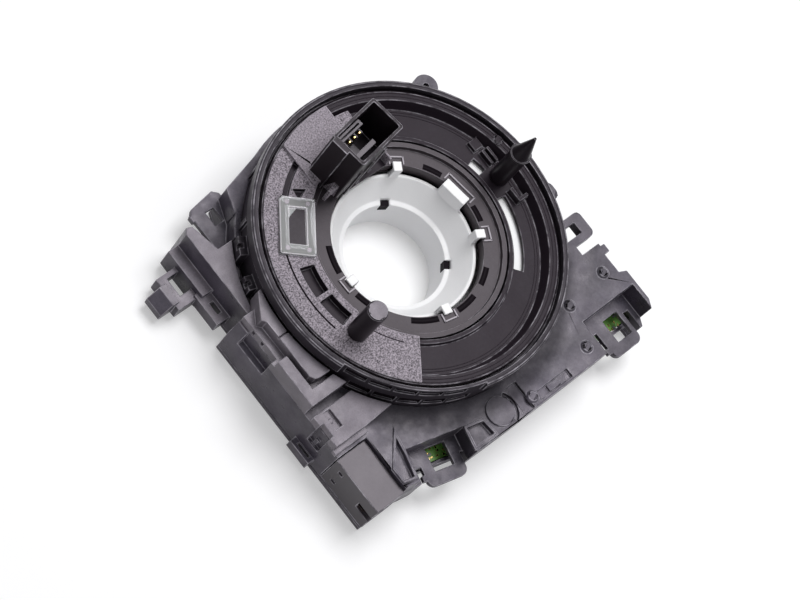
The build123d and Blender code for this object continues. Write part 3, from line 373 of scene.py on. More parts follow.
def grain_group():
    """Moulded plastic: flecks, clouds, uneven gloss, a painted highlight on rounded edges and a
    fine grain.
    """
    inputs = (
        ("Colour", COLOUR, (0.05, 0.05, 0.05, 1.0)),
        ("Edge Colour", COLOUR, (0.3, 0.3, 0.3, 1.0)),
        ("Edge Amount", VALUE, 0.4),
        ("Fleck", VALUE, 0.1),
        ("Fleck Scale", VALUE, 2500.0),
        ("Cloud", VALUE, 0.08),
        ("Cloud Scale", VALUE, 55.0),
        ("Roughness", VALUE, 0.5),
        ("Spread", VALUE, 0.1),
        ("Grain Depth", VALUE, 0.00001),
        ("Grain Scale", VALUE, 2500.0),
    )
    outputs = (("Colour", COLOUR), ("Roughness", VALUE), ("Normal", VECTOR))
    tree, given, out = shader_group("moulded_grain", inputs, outputs)
    fleck = around_one(tree, noise(tree, given["Fleck Scale"], 2.0), given["Fleck"])
    cloud = around_one(tree, noise(tree, given["Cloud Scale"], 4.0), given["Cloud"])
    shade = times(tree, fleck, cloud)
    body = mix_colour(tree, "MULTIPLY", 1.0, given["Colour"], grey(tree, shade))
    # Painted highlight: rounded edges lightened towards the edge colour in broken patches
    worn = wired(tree, "ShaderNodeAttribute", {"attribute_name": "worn"})
    patch = minus(tree, noise(tree, HIGHLIGHT_PATCHES, 4.0), HIGHLIGHT_START)
    broken = clamped(tree, times(tree, patch, HIGHLIGHT_CONTRAST), HIGHLIGHT_LEAST)
    lit_edge = times(tree, worn.outputs["Fac"], broken)
    edge = times(tree, lit_edge, given["Edge Amount"])
    highlighted_body = mix_colour(tree, "MIX", edge, body, given["Edge Colour"])
    tree.links.new(highlighted_body, out["Colour"])
    uneven = minus(tree, noise(tree, GLOSS_PATCHES, 5.0), 0.5)
    gloss = times(tree, uneven, given["Spread"])
    roughness = plus(tree, given["Roughness"], gloss)
    tree.links.new(roughness, out["Roughness"])
    bump = wired(tree, "ShaderNodeBump", strength=1.0, distance=given["Grain Depth"],
                 height=noise(tree, given["Grain Scale"], 3.0))
    tree.links.new(bump.outputs["Normal"], out["Normal"])
    return tree


def dust_and_sheen_group():
    """A thin pale film on upward faces, thicker in patches: partly dust, partly a painted bluish
    sheen.
    """
    inputs = (("Colour", COLOUR, (0.1, 0.1, 0.1, 1.0)), ("Amount", VALUE, 0.08))
    tree, given, out = shader_group("upward_dust", inputs, (("Colour", COLOUR),))
    facing = tree.nodes.new("ShaderNodeNewGeometry")
    split = wired(tree, "ShaderNodeSeparateXYZ", vector=facing.outputs["Normal"])
    upward = math_node(tree, "MAXIMUM", split.outputs["Z"], 0.0)
    patch = times(tree, noise(tree, DUST_AND_SHEEN_PATCHES, 5.0), noise(tree, DUST_AND_SHEEN_GRAINS, 2.0))
    film = times(tree, times(tree, upward, patch), given["Amount"])
    dust_and_sheen_colour = mix_colour(tree, "MIX", film, given["Colour"], DUST_AND_SHEEN_COLOUR)
    tree.links.new(dust_and_sheen_colour, out["Colour"])
    return tree


def use_group(tree, group, **values):
    """The group placed in a material, with its values set by name."""
    node = tree.nodes.new("ShaderNodeGroup")
    node.node_tree = bpy.data.node_groups[group]
    for key, value in values.items():
        node.inputs[key.replace("_", " ").title()].default_value = value
    return node


def opaque(colour):
    """The colour with full alpha."""
    return (colour[0], colour[1], colour[2], 1.0)


def finish_of(name):
    """The finish made here. The frame has plain materials under the names of the slots."""
    return bpy.data.materials[name + "_finish"]


def fresh_material(name):
    """The tree and shader of a material that holds only a Principled shader and output."""
    material = bpy.data.materials.new(name + "_finish")
    material.use_nodes = True
    return material.node_tree, material.node_tree.nodes["Principled BSDF"]


def foot_shade(tree, skin, film, shader):
    """Painted shade at the collar's foot in front: darker and duller plastic, fading outward and to
    the back.
    """
    split = wired(tree, "ShaderNodeSeparateXYZ", vector=object_point(tree))
    flat = vector(tree, x=split.outputs["X"], y=split.outputs["Y"])
    reach = wired(tree, "ShaderNodeVectorMath", {"operation": "LENGTH"}, vector=flat)
    past_foot = minus(tree, reach.outputs["Value"], FOOT_RADIUS)
    outward = math_node(tree, "DIVIDE", past_foot, FOOT_WIDE)
    past_front = plus(tree, split.outputs["Y"], FOOT_BACK)
    backward = math_node(tree, "DIVIDE", past_front, FOOT_FADE)
    shade = clamped(tree, math_node(tree, "MAXIMUM", outward, backward), FOOT_SHADE)
    dark = mix_colour(tree, "MULTIPLY", 1.0, film.outputs["Colour"], grey(tree, shade))
    tree.links.new(dark, shader.inputs["Base Color"])
    dull = times(tree, minus(tree, 1.0, shade), FOOT_DULLNESS)
    roughness = plus(tree, skin.outputs["Roughness"], dull)
    tree.links.new(roughness, shader.inputs["Roughness"])


def skinned(name, colour, roughness, **grain):
    """The tree, grain and shader of a plastic finish whose colour isn't linked yet."""
    surface = bpy.context.scene.clock_surface
    tree, shader = fresh_material(name)
    grain = {"grain_depth": surface.grain_depth, "grain_scale": surface.grain_per_metre, **grain}
    skin = use_group(tree, "moulded_grain", colour=opaque(colour), roughness=roughness, **grain)
    for output in ("Roughness", "Normal"):
        tree.links.new(skin.outputs[output], shader.inputs[output])
    return tree, skin, shader


def moulded(name, colour, roughness, dust_and_sheen=0.05, specular=0.5, tint=PLUM_TINT, **grain):
    """A moulded plastic with a thin film of dust and painted sheen on its upward faces."""
    grain = {"edge_colour": PALE_EDGE, "edge_amount": 0.5, **grain}
    tree, skin, shader = skinned(name, colour, roughness, **grain)
    film = use_group(tree, "upward_dust", amount=dust_and_sheen)
    tree.links.new(skin.outputs["Colour"], film.inputs["Colour"])
    tree.links.new(film.outputs["Colour"], shader.inputs["Base Color"])
    # Painted shade at the collar's foot, on the housing only
    if name == "housing_black":
        foot_shade(tree, skin, film, shader)
    shader.inputs["Specular IOR Level"].default_value = specular
    shader.inputs["Specular Tint"].default_value = tint
    return shader


def make_materials(scene):
    """Every finish of the part. Those of the record's slots bear the slots' names."""
    look = scene.clock_colours
    surface = scene.clock_surface
    spark = {"fleck_scale": surface.spark_per_metre, "grain_depth": surface.spark_depth,
             "grain_scale": surface.spark_per_metre}
    grain_group()
    dust_and_sheen_group()
    # The housing's strong colour clouds are partly random tone and partly painted sheen in blotches
    moulded("housing_black", look.housing, 0.38, dust_and_sheen=0.20, specular=0.36, edge_amount=0.68,
            fleck=0.34, fleck_scale=2300.0, cloud=0.95, cloud_scale=60.0, spread=1.0)
    moulded("cassette_black", look.cassette, 0.40, specular=0.15, edge_amount=0.62, fleck=0.20,
            fleck_scale=2600.0, cloud=0.30, cloud_scale=80.0, spread=0.5)
    moulded("disc_black", look.disc, 0.34, dust_and_sheen=0.03, specular=0.09, fleck=0.14,
            fleck_scale=2600.0, cloud=0.12, spread=0.14)
    moulded("hub_grey", look.hub, 0.42, dust_and_sheen=0.06, specular=0.24, fleck=0.12)
    # The strong flecks of the plateau and the shelf are partly the grain's own tone and partly
    # painted glints of its sheen
    moulded("plateau_grey", look.plateau, 0.64, dust_and_sheen=0.08, specular=0.22, fleck=1.35, cloud=0.10,
            **spark)
    moulded("shelf_grey", [SHELF_LIFT * value for value in look.plateau], 0.62, dust_and_sheen=0.10,
            specular=0.25, fleck=0.9, **spark)
    moulded("tower_black", look.tower, 0.34, specular=0.14, edge_amount=0.8, fleck=0.08,
            cloud=0.10)
    moulded("cover_grey", look.covers, 0.42, dust_and_sheen=0.16, specular=0.48, edge_amount=0.6,
            fleck=0.24, cloud=0.5, cloud_scale=70.0, spread=0.6)
    moulded("connector_black", look.connector, 0.32, dust_and_sheen=0.06, specular=0.42, edge_amount=0.7,
            fleck=0.08)
    moulded("carrier_grey", look.contact_block, 0.40, fleck=0.08, cloud=0.06)
    moulded("pin_black", look.pins, 0.36, dust_and_sheen=0.04, specular=0.15, edge_amount=0.6, cloud=0.06)
    moulded("ring_white", look.ring, 0.42, dust_and_sheen=0.0, tint=NO_TINT, edge_colour=WHITE_EDGE,
            fleck=0.015, cloud=0.025)
    moulded("board_green", look.board, 0.34, dust_and_sheen=0.03, edge_colour=BOARD_EDGE, edge_amount=0.6,
            fleck=0.25, cloud=0.20)
    moulded("clip_grey", CLIP_COLOUR, 0.36, edge_amount=0.6, fleck=0.08, cloud=0.10)
    # Near-black finish of painted shade in slots, gaps, windows and holes
    moulded("deep_black", PAINTED_SHADE_COLOUR, 0.5, dust_and_sheen=0.0, specular=0.05, edge_amount=0.0, cloud=0.10)
    moulded("ribbon_amber", look.ribbon, 0.30, dust_and_sheen=0.02, edge_colour=RIBBON_EDGE,
            edge_amount=0.4, fleck=0.05)
    metal("contact_gold", look.gold, 0.26)
    metal("screw_steel", look.steel, 0.34)
    clear_plastic(look.window)


def metal(name, colour, roughness):
    """A plated metal, slightly cloudy."""
    shader = moulded(name, colour, roughness, dust_and_sheen=0.0, tint=NO_TINT, edge_colour=METAL_EDGE,
                     edge_amount=0.3, fleck=0.06, cloud=0.10)
    shader.inputs["Metallic"].default_value = 1.0


def clear_plastic(colour):
    """Clear polycarbonate with a slightly uneven polish, and the finish of its paler rim."""
    tree, skin, shader = skinned("window_clear", colour, 0.30, fleck=0.02, cloud=0.03,
                                 edge_amount=0.0, grain_depth=0.002 * MM)
    tree.links.new(skin.outputs["Colour"], shader.inputs["Base Color"])
    shader.inputs["Transmission Weight"].default_value = 0.75
    shader.inputs["IOR"].default_value = 1.2
    rim = moulded("window_rim", RIM_COLOUR, 0.25, dust_and_sheen=0.0, edge_colour=WINDOW_EDGE, fleck=0.03,
                  cloud=0.06)
    rim.inputs["Transmission Weight"].default_value = 0.35


# Pieces made from the CAD nodes

def merged(node):
    """The node's mesh with its corners merged and its flat pairs of triangles joined."""
    shape = bmesh.new()
    shape.from_mesh(frame["nodes"][node].data)
    bmesh.ops.remove_doubles(shape, verts=shape.verts, dist=MERGE_DISTANCE)
    bmesh.ops.join_triangles(shape, faces=shape.faces, angle_face_threshold=FLAT_ANGLE,
                             angle_shape_threshold=SQUARE_ANGLE)
    return shape


def mesh_of(name, shape):
    """A mesh that takes over a shape."""
    mesh = bpy.data.meshes.new(name)
    shape.to_mesh(mesh)
    shape.free()
    return mesh


def without_edge_highlight(mesh):
    """The mesh with no points of painted edge highlight."""
    mesh.attributes.new("worn", "FLOAT", "POINT")
    return mesh


def new_piece(name, mesh, material):
    """A shown object at the origin with one finish."""
    mesh.name = name
    piece = bpy.data.objects.new(name, mesh)
    bpy.context.scene.collection.objects.link(piece)
    mesh.materials.clear()
    mesh.materials.append(finish_of(material))
    return piece


def make_plain(piece):
    """Apply the modifiers of a piece."""
    graph = bpy.context.evaluated_depsgraph_get()
    result = bpy.data.meshes.new_from_object(piece.evaluated_get(graph), depsgraph=graph)
    piece.modifiers.clear()
    old = piece.data
    piece.data = result
    bpy.data.meshes.remove(old)
    result.name = piece.name


def mark_edge_highlight(mesh):
    """Points inside a rounded edge get an attribute that the finishes lighten into a painted
    highlight.
    """
    in_edge = [True] * len(mesh.vertices)
    for face in mesh.polygons:
        if face.material_index == 0:
            for corner in face.vertices:
                in_edge[corner] = False
    worn = mesh.attributes.new("worn", "FLOAT", "POINT")
    worn.data.foreach_set("value", [float(mark) for mark in in_edge])


def rounded_piece(node, name, edge, material=None, edge_finish=None):
    """A piece with rounded edges in the place of a CAD node, on the node's own body."""
    mesh = mesh_of(name, merged(node))
    finish = material or SLOT_OF[node]
    piece = new_piece(name, mesh, finish)
    mesh.materials.append(finish_of(finish))
    mesh.shade_smooth()
    mesh.set_sharp_from_angle(angle=SMOOTH_ANGLE)
    bevel = piece.modifiers.new("edges", "BEVEL")
    bevel.limit_method = "ANGLE"
    bevel.angle_limit = BEVEL_ANGLE
    bevel.width = edge
    bevel.segments = BEVEL_SEGMENTS
    bevel.material = 1
    bevel.use_clamp_overlap = False
    bevel.harden_normals = False
    even = piece.modifiers.new("even", "WEIGHTED_NORMAL")
    even.keep_sharp = True
    even.weight = NORMAL_WEIGHT
    make_plain(piece)
    mark_edge_highlight(piece.data)
    if edge_finish:
        piece.data.materials[1] = finish_of(edge_finish)
    else:
        piece.data.materials.clear()
        piece.data.materials.append(finish_of(finish))
    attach(piece, BODY_OF[node])
    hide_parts(node)


def measures(point, normal):
    """What the limits of a place are compared with. The tower's axes are along and across it."""
    turn = math.radians(TOWER_TURN)
    x, y = point.x - TOWER_PLACE[0], point.y - TOWER_PLACE[1]
    return {
        "x": point.x, "y": point.y, "z": point.z, "up": normal.z,
        "radius": math.hypot(point.x, point.y),
        "angle": math.degrees(math.atan2(point.y, point.x)) % 360,
        "along": x * math.cos(turn) + y * math.sin(turn),
        "across": y * math.cos(turn) - x * math.sin(turn),
    }


def paint(piece, finish, place):
    """Another finish on the faces whose centre and direction lie within the place's limits."""
    piece.data.materials.append(finish_of(finish))
    slot = len(piece.data.materials) - 1
    for face in piece.data.polygons:
        found = measures(face.center / MM, face.normal)
        if all(low < found[key] < high for key, (low, high) in place.items()):
            face.material_index = slot


def window_point(u, v, z):
    """A point along and across the clear window, in metres."""
    turn = math.radians(WINDOW_TURN)
    x = WINDOW_PLACE[0] + u * math.cos(turn) - v * math.sin(turn)
    y = WINDOW_PLACE[1] + u * math.sin(turn) + v * math.cos(turn)
    return Vector((x, y, z)) * MM


def flat_plate(name, corners, low, high):
    """A flat plate from corners along and across the clear window."""
    shape = bmesh.new()
    under, over = (
        [shape.verts.new(window_point(u, v, level)) for u, v in corners] for level in (low, high)
    )
    shape.faces.new(reversed(under))
    shape.faces.new(over)
    for index in range(len(corners)):
        shape.faces.new((under[index - 1], under[index], over[index], over[index - 1]))
    return without_edge_highlight(mesh_of(name, shape))


# Repeated forms

GEOMETRY = "NodeSocketGeometry"
WHOLE = "NodeSocketInt"
ARC_POINTS = 120
HALF_DIAGONAL = 0.7071
TIP_SHARE = 0.45
BOARD_SPACING = 0.0011
TURN_SEED = 5


def repeat_tree(name, inputs, takes_mesh=False):
    """An empty geometry tree with named inputs, a finish and one output."""
    tree = bpy.data.node_groups.new(name, "GeometryNodeTree")
    if takes_mesh:
        tree.interface.new_socket(name="Geometry", in_out="INPUT", socket_type=GEOMETRY)
    for socket, kind, default in inputs:
        item = tree.interface.new_socket(name=socket, in_out="INPUT", socket_type=kind)
        item.default_value = default
    tree.interface.new_socket(name="Finish", in_out="INPUT", socket_type="NodeSocketMaterial")
    tree.interface.new_socket(name="Geometry", in_out="OUTPUT", socket_type=GEOMETRY)
    return tree, tree.nodes.new("NodeGroupInput").outputs, tree.nodes.new("NodeGroupOutput").inputs


def close_tree(tree, given, out, geometry):
    """Realize the instances, give the finish and put the mesh out."""
    real = geo(tree, "RealizeInstances", geometry=geometry)
    done = geo(tree, "SetMaterial", geometry=real, material=given["Finish"])
    tree.links.new(done.outputs[0], out["Geometry"])


def stepped(tree, first, step):
    """First plus the point's number times the step."""
    index = tree.nodes.new("GeometryNodeInputIndex")
    return plus(tree, first, times(tree, index.outputs[0], step))


def concentric_tree():
    """Raised lines of rectangular section on arcs round the steering axis."""
    inputs = (
        ("Lines", WHOLE, 2), ("First Radius", VALUE, 0.045), ("Pitch", VALUE, 0.001),
        ("Start", VALUE, 0.0), ("Sweep", VALUE, 1.0), ("Across", VALUE, 0.0003),
        ("Height", VALUE, 0.0002), ("Level", VALUE, 0.03),
    )
    tree, given, out = repeat_tree("concentric_lines", inputs)
    radius = stepped(tree, given["First Radius"], given["Pitch"])
    size = vector(tree, x=radius, y=radius, z=1.0)
    dots = geo(tree, "Points", count=given["Lines"])
    arc = geo(tree, "CurveArc", {"mode": "RADIUS"}, resolution=ARC_POINTS, radius=1.0,
              start_angle=given["Start"], sweep_angle=given["Sweep"])
    arcs = geo(tree, "InstanceOnPoints", points=dots, instance=arc.outputs["Curve"], scale=size)
    loose = geo(tree, "RealizeInstances", geometry=arcs)
    upright = geo(tree, "SetCurveNormal", {"mode": "Z_UP"}, curve=loose)
    section = geo(tree, "CurvePrimitiveQuadrilateral", width=given["Across"],
                  height=given["Height"])
    swept = geo(tree, "CurveToMesh", curve=upright, profile_curve=section, fill_caps=True)
    lift = vector(tree, z=given["Level"])
    raised = geo(tree, "Transform", geometry=swept, translation=lift)
    close_tree(tree, given, out, raised)


def round_blocks_tree():
    """Blocks in even steps round the steering axis."""
    inputs = (
        ("Count", WHOLE, 4), ("Radius", VALUE, 0.05), ("Start", VALUE, 0.0), ("Step", VALUE, 0.1),
        ("Size", VECTOR, (0.001, 0.001, 0.001)), ("Level", VALUE, 0.03),
    )
    tree, given, out = repeat_tree("round_blocks", inputs)
    angle = stepped(tree, given["Start"], given["Step"])
    across = times(tree, math_node(tree, "COSINE", angle), given["Radius"])
    along = times(tree, math_node(tree, "SINE", angle), given["Radius"])
    spot = vector(tree, x=across, y=along, z=given["Level"])
    turn = vector(tree, z=angle)
    dots = geo(tree, "Points", count=given["Count"], position=spot)
    cube = geo(tree, "MeshCube", size=given["Size"])
    blocks = geo(tree, "InstanceOnPoints", points=dots, instance=cube.outputs["Mesh"],
                 rotation=turn)
    close_tree(tree, given, out, blocks)


def pin_field_tree():
    """Square contact pins with chamfered tips, in rows and columns, pointing to -Y."""
    inputs = (
        ("Columns", WHOLE, 2), ("Rows", WHOLE, 8), ("Wide", VALUE, 0.0034), ("High", VALUE, 0.0105),
        ("Side", VALUE, 0.00064), ("Long", VALUE, 0.008), ("Tip", VALUE, 0.001),
        ("Place", VECTOR, (0, 0, 0)),
    )
    tree, given, out = repeat_tree("pin_field", inputs)
    reach = times(tree, given["Side"], HALF_DIAGONAL)
    shank_long = minus(tree, given["Long"], given["Tip"])
    shank = geo(tree, "MeshCylinder", vertices=4, radius=reach, depth=shank_long)
    tip = geo(tree, "MeshCone", vertices=4, radius_bottom=reach,
              radius_top=times(tree, reach, TIP_SHARE), depth=given["Tip"])
    end = vector(tree, z=times(tree, shank_long, 0.5))
    tip_up = geo(tree, "Transform", geometry=tip.outputs["Mesh"], translation=end)
    pin = tree.nodes.new("GeometryNodeJoinGeometry")
    tree.links.new(shank.outputs["Mesh"], pin.inputs[0])
    tree.links.new(tip_up.outputs[0], pin.inputs[0])
    squared = geo(tree, "Transform", geometry=pin, rotation=(0, 0, math.radians(45)))
    field = geo(tree, "MeshGrid", size_x=given["Wide"], size_y=given["High"],
                vertices_x=given["Columns"], vertices_y=given["Rows"])
    pins = geo(tree, "InstanceOnPoints", points=field.outputs["Mesh"], instance=squared)
    laid = geo(tree, "Transform", geometry=pins, rotation=(math.radians(90), 0, 0),
               translation=given["Place"])
    close_tree(tree, given, out, laid)


def board_parts_tree():
    """Small pads or parts strewn over the board's top, near one place."""
    inputs = (
        ("Middle", VECTOR, (0, 0, 0)), ("Reach", VALUE, 0.008), ("Density", VALUE, 600000.0),
        ("Seed", WHOLE, 3), ("Size", VECTOR, (0.0008, 0.0005, 0.0002)),
    )
    tree, given, out = repeat_tree("board_parts", inputs, takes_mesh=True)
    facing = tree.nodes.new("GeometryNodeInputNormal")
    split = wired(tree, "ShaderNodeSeparateXYZ", vector=facing)
    upward = math_node(tree, "GREATER_THAN", split.outputs["Z"], 0.9)
    dots = geo(tree, "DistributePointsOnFaces", {"distribute_method": "POISSON"},
               mesh=given["Geometry"], selection=upward, distance_min=BOARD_SPACING,
               density_max=given["Density"], seed=given["Seed"])
    place_of = tree.nodes.new("GeometryNodeInputPosition")
    gap = wired(tree, "ShaderNodeVectorMath", {"operation": "DISTANCE"})
    feed(tree, gap.inputs[0], place_of)
    feed(tree, gap.inputs[1], given["Middle"])
    far = math_node(tree, "GREATER_THAN", gap.outputs["Value"], given["Reach"])
    near = geo(tree, "DeleteGeometry", geometry=dots.outputs["Points"], selection=far)
    cube = geo(tree, "MeshCube", size=given["Size"])
    chance = wired(tree, "FunctionNodeRandomValue", {"data_type": "INT"}, seed=TURN_SEED)
    for socket in chance.inputs:
        if socket.type == "INT" and socket.name in ("Min", "Max"):
            socket.default_value = int(socket.name == "Max")
    turned = [socket for socket in chance.outputs if socket.type == "INT"][0]
    turn = vector(tree, z=times(tree, turned, math.radians(90)))
    parts = geo(tree, "InstanceOnPoints", points=near, instance=cube.outputs["Mesh"], rotation=turn)
    close_tree(tree, given, out, parts)


def point_marks_tree():
    """An upright prism on each point of the piece's mesh."""
    inputs = (("Sides", WHOLE, 6), ("Radius", VALUE, 0.001), ("Depth", VALUE, 0.0001))
    tree, given, out = repeat_tree("point_marks", inputs, takes_mesh=True)
    prism = geo(tree, "MeshCylinder", vertices=given["Sides"], radius=given["Radius"],
                depth=given["Depth"])
    marks = geo(tree, "InstanceOnPoints", points=given["Geometry"], instance=prism.outputs["Mesh"])
    close_tree(tree, given, out, marks)


TREES = {
    "concentric_lines": concentric_tree, "round_blocks": round_blocks_tree,
    "pin_field": pin_field_tree, "board_parts": board_parts_tree, "point_marks": point_marks_tree,
}


def grown(name, tree_name, finish, body, slot, mesh=None, **values):
    """A plain mesh made by one of the trees, on its body; the slot is not used."""
    if tree_name not in bpy.data.node_groups:
        TREES[tree_name]()
    tree = bpy.data.node_groups[tree_name]
    piece = new_piece(name, mesh or bpy.data.meshes.new(name), finish)
    grow = piece.modifiers.new("grow", "NODES")
    grow.node_group = tree
    for item in tree.interface.items_tree:
        if item.item_type != "SOCKET" or item.in_out != "INPUT":
            continue
        key = item.name.replace(" ", "_").lower()
        if item.name == "Finish":
            grow[item.identifier] = finish_of(finish)
        elif key in values:
            grow[item.identifier] = values[key]
    make_plain(piece)
    without_edge_highlight(piece.data)
    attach(piece, body)
    return piece


def home(node):
    """The body and the slot of a CAD node."""
    return BODY_OF[node], SLOT_OF[node]


def arc_lines(name, finish, node, radius, start, sweep, across, height, level, lines=1, pitch=0.0):
    """Lines round the steering axis on a node's body, in millimetres and degrees."""
    grown(name, "concentric_lines", finish, *home(node), lines=lines, first_radius=radius * MM,
          pitch=pitch * MM, start=math.radians(start), sweep=math.radians(sweep),
          across=across * MM, height=height * MM, level=level * MM)


def block_mesh(name, blocks):
    """Blocks turned about the axis: angle, radii, half width, offset, low and high level."""
    shape = bmesh.new()
    for angle, r_in, r_out, half, offset, low, high in blocks:
        turn = Matrix.Rotation(math.radians(angle), 4, "Z")
        middle = Vector(((r_in + r_out) / 2, offset, (low + high) / 2)) * MM
        size = Matrix.Diagonal(Vector((r_out - r_in, 2 * half, high - low, 1000.0)) * MM)
        bmesh.ops.create_cube(shape, size=1.0, matrix=turn @ Matrix.Translation(middle) @ size)
    return without_edge_highlight(mesh_of(name, shape))


def placed(piece, body, slot):
    """A plain piece on its body; the slot is not used."""
    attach(piece, body)


def corners_of(node):
    """The places of a CAD node's corners."""
    return [vertex.co for vertex in frame["nodes"][node].data.vertices]


def node_box(node):
    """The lowest and highest corner of a CAD node."""
    points = corners_of(node)
    return [
        Vector(pick(point[axis] for point in points) for axis in range(3)) for pick in (min, max)
    ]


def low_ends(node, apart):
    """The middle of each separate lowest face of a CAD node."""
    points = corners_of(node)
    lowest = min(point.z for point in points)
    groups = []
    for point in points:
        if point.z < lowest + SAME_LEVEL * MM:
            near = [group for group in groups if (group[0] - point).length < apart]
            if near:
                near[0].append(point)
            else:
                groups.append([point])
    return [sum(group, Vector()) / len(group) for group in groups]


# Operators

class PieceOperator:
    """What the operators of the pieces share: rounded pieces, then other finishes on places."""

    bl_options = {"REGISTER"}
    pieces = ()
    painted = ()

    def execute(self, context):
        surface = context.scene.clock_surface
        for node, name, edge, *finish in self.pieces:
            rounded_piece(node, name, getattr(surface, edge), *finish)
        for name, finish, place in self.painted:
            paint(bpy.data.objects[name], finish, place)
        return {"FINISHED"}


class CLOCK_OT_housing(PieceOperator, bpy.types.Operator):
    """Finish the control housing and its rear cover"""

    bl_idname = "clock.housing"
    bl_label = "Housing"
    pieces = (("main_housing", "housing_shell", "edge"), ("rear_cover", "back_cover", "edge"))
    # The left shoulder's upward faces get cover_grey as a painted highlight
    painted = (("housing_shell", "cover_grey", LEFT_SHOULDER_HIGHLIGHT),)


class CLOCK_OT_covers(PieceOperator, bpy.types.Operator):
    """Finish the side box, the plug cover and the ribbon's terminal"""

    bl_idname = "clock.covers"
    bl_label = "Covers"
    pieces = (
        ("side_box", "side_cover", "edge"),
        ("plug_cover", "connector_lid", "edge"),
        ("cable_terminal", "outer_terminal", "fine_edge"),
    )


class CLOCK_OT_cassette(PieceOperator, bpy.types.Operator):
    """Finish the round collar, paint shade into its windows, and add dark plates of painted shade
    in the slots of its left wall
    """

    bl_idname = "clock.cassette"
    bl_label = "Cassette"
    pieces = (("stator_cassette", "round_collar", "edge"),)
    # The collar's windows get painted shade
    painted = (("round_collar", "deep_black", COLLAR_WINDOW_SHADE),)

    def execute(self, context):
        super().execute(context)
        for name, finish, count, radius, start, size, level in WALL_BLOCKS:
            grown(name, "round_blocks", finish, *home("stator_cassette"), count=count,
                  radius=radius * MM, start=math.radians(start), step=math.radians(WALL_STEP),
                  size=tuple(side * MM for side in size), level=level * MM)
        return {"FINISHED"}


class CLOCK_OT_disc(PieceOperator, bpy.types.Operator):
    """Finish the turning disc and the hub ring"""

    bl_idname = "clock.disc"
    bl_label = "Disc"
    pieces = (
        ("rotor_disc", "stepped_disc", "edge"),
        ("hub_ring", "hub_collar", "fine_edge", "hub_grey"),
    )


class CLOCK_OT_disc_lines(bpy.types.Operator):
    """Add the fine turned lines on the disc and the rim"""

    bl_idname = "clock.disc_lines"
    bl_label = "Disc lines"

    def execute(self, context):
        for line in DISC_LINES:
            arc_lines(*line)
        return {"FINISHED"}


class CLOCK_OT_hub_details(bpy.types.Operator):
    """Add the hub's clip outlines, dark arcs of painted shade in its windows, and dark floors of
    painted shade in the ring's square holes
    """

    bl_idname = "clock.hub_details"
    bl_label = "Hub details"

    def execute(self, context):
        outlines = []
        inner, back, outer = CLIP_RADII
        for angle, wide in LATCHES:
            reach = wide / 2 + CLIP_GAP
            for side in (-1, 1):
                outlines.append((angle, inner, outer, CLIP_LINE, side * reach, *CLIP_LEVELS))
            outlines.append((angle, back, outer, reach, 0.0, *CLIP_LEVELS))
        clips = new_piece("clip_outlines", block_mesh("clip_outlines", outlines), "clip_grey")
        placed(clips, *home("hub_ring"))
        for index, (start, end) in enumerate(HUB_WINDOWS):
            arc_lines("hub_window_%d" % index, "deep_black", "hub_ring", start=start,
                      sweep=end - start, **HUB_WINDOW_SECTION)
        floors = [(angle, *HOLE_FLOOR) for angle in RING_HOLES]
        dark = new_piece("hole_floors", block_mesh("hole_floors", floors), "deep_black")
        placed(dark, *home("hub_ring"))
        return {"FINISHED"}


class CLOCK_OT_ring(PieceOperator, bpy.types.Operator):
    """Finish the white ring on the column"""

    bl_idname = "clock.ring"
    bl_label = "White ring"
    pieces = (("sensor_ring", "column_ring", "edge"),)


class CLOCK_OT_tower(PieceOperator, bpy.types.Operator):
    """Finish the tower, its contact block and contacts"""

    bl_idname = "clock.tower"
    bl_label = "Tower"
    pieces = (
        ("tower_housing", "tower_shell", "edge"),
        ("contact_carrier", "contact_block", "fine_edge"),
        ("tower_pins", "tower_contacts", "fine_edge"),
    )
    painted = (
        ("tower_shell", "tower_black", TOWER_WALL),
        ("tower_shell", "shelf_grey", SHELF),
        # The plateau's pockets get disc_black as painted shade
        ("tower_shell", "disc_black", PLATEAU_POCKET_SHADE),
    )

    def execute(self, context):
        super().execute(context)
        for line in PLATEAU_LINES:
            arc_lines(*line)
        rounded_piece("clear_window", "clear_cover", context.scene.clock_surface.edge,
                      edge_finish="window_rim")
        # A dark plate of painted shade in the well under the clear window
        plate = flat_plate("window_pane", WINDOW_SHADE_CORNERS, *SHADE_PANE_LEVELS)
        placed(new_piece("window_pane", plate, "tower_black"), BODY_OF["clear_window"],
               SLOT_OF["tower_housing"])
        mesh = bpy.data.meshes.new("window_marks")
        mesh.from_pydata([window_point(u, v, MARK_LEVEL) for u, v in WINDOW_MARKS], [], [])
        grown("window_marks", "point_marks", "clip_grey", BODY_OF["clear_window"],
              SLOT_OF["hub_ring"], mesh, **WINDOW_MARK)
        return {"FINISHED"}


class CLOCK_OT_pins(PieceOperator, bpy.types.Operator):
    """Finish the centring pin and the guide pin"""

    bl_idname = "clock.pins"
    bl_label = "Pins"
    pieces = (("centring_pin", "cone_pin", "fine_edge"), ("guide_pin", "flat_pin", "fine_edge"))
    # The flat pin's top gets cover_grey as a painted highlight
    painted = (("flat_pin", "cover_grey", FLAT_PIN_TOP_HIGHLIGHT),)


class CLOCK_OT_connector(PieceOperator, bpy.types.Operator):
    """Finish the board connector and its contacts"""

    bl_idname = "clock.connector"
    bl_label = "Connector"
    pieces = (("board_connector", "plug_shroud", "edge"),)

    def execute(self, context):
        super().execute(context)
        low, high = node_box("connector_pins")
        side = PIN_SIDE * MM
        middle = (low + high) / 2
        middle.y += PIN_FORWARD * MM
        pins = grown("plug_contacts", "pin_field", "contact_gold", *home("connector_pins"),
                     columns=2, rows=8, wide=high.x - low.x - side, high=high.z - low.z - side,
                     side=side, long=high.y - low.y, tip=PIN_TIP * MM, place=tuple(middle))
        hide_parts("connector_pins")
        return {"FINISHED"}


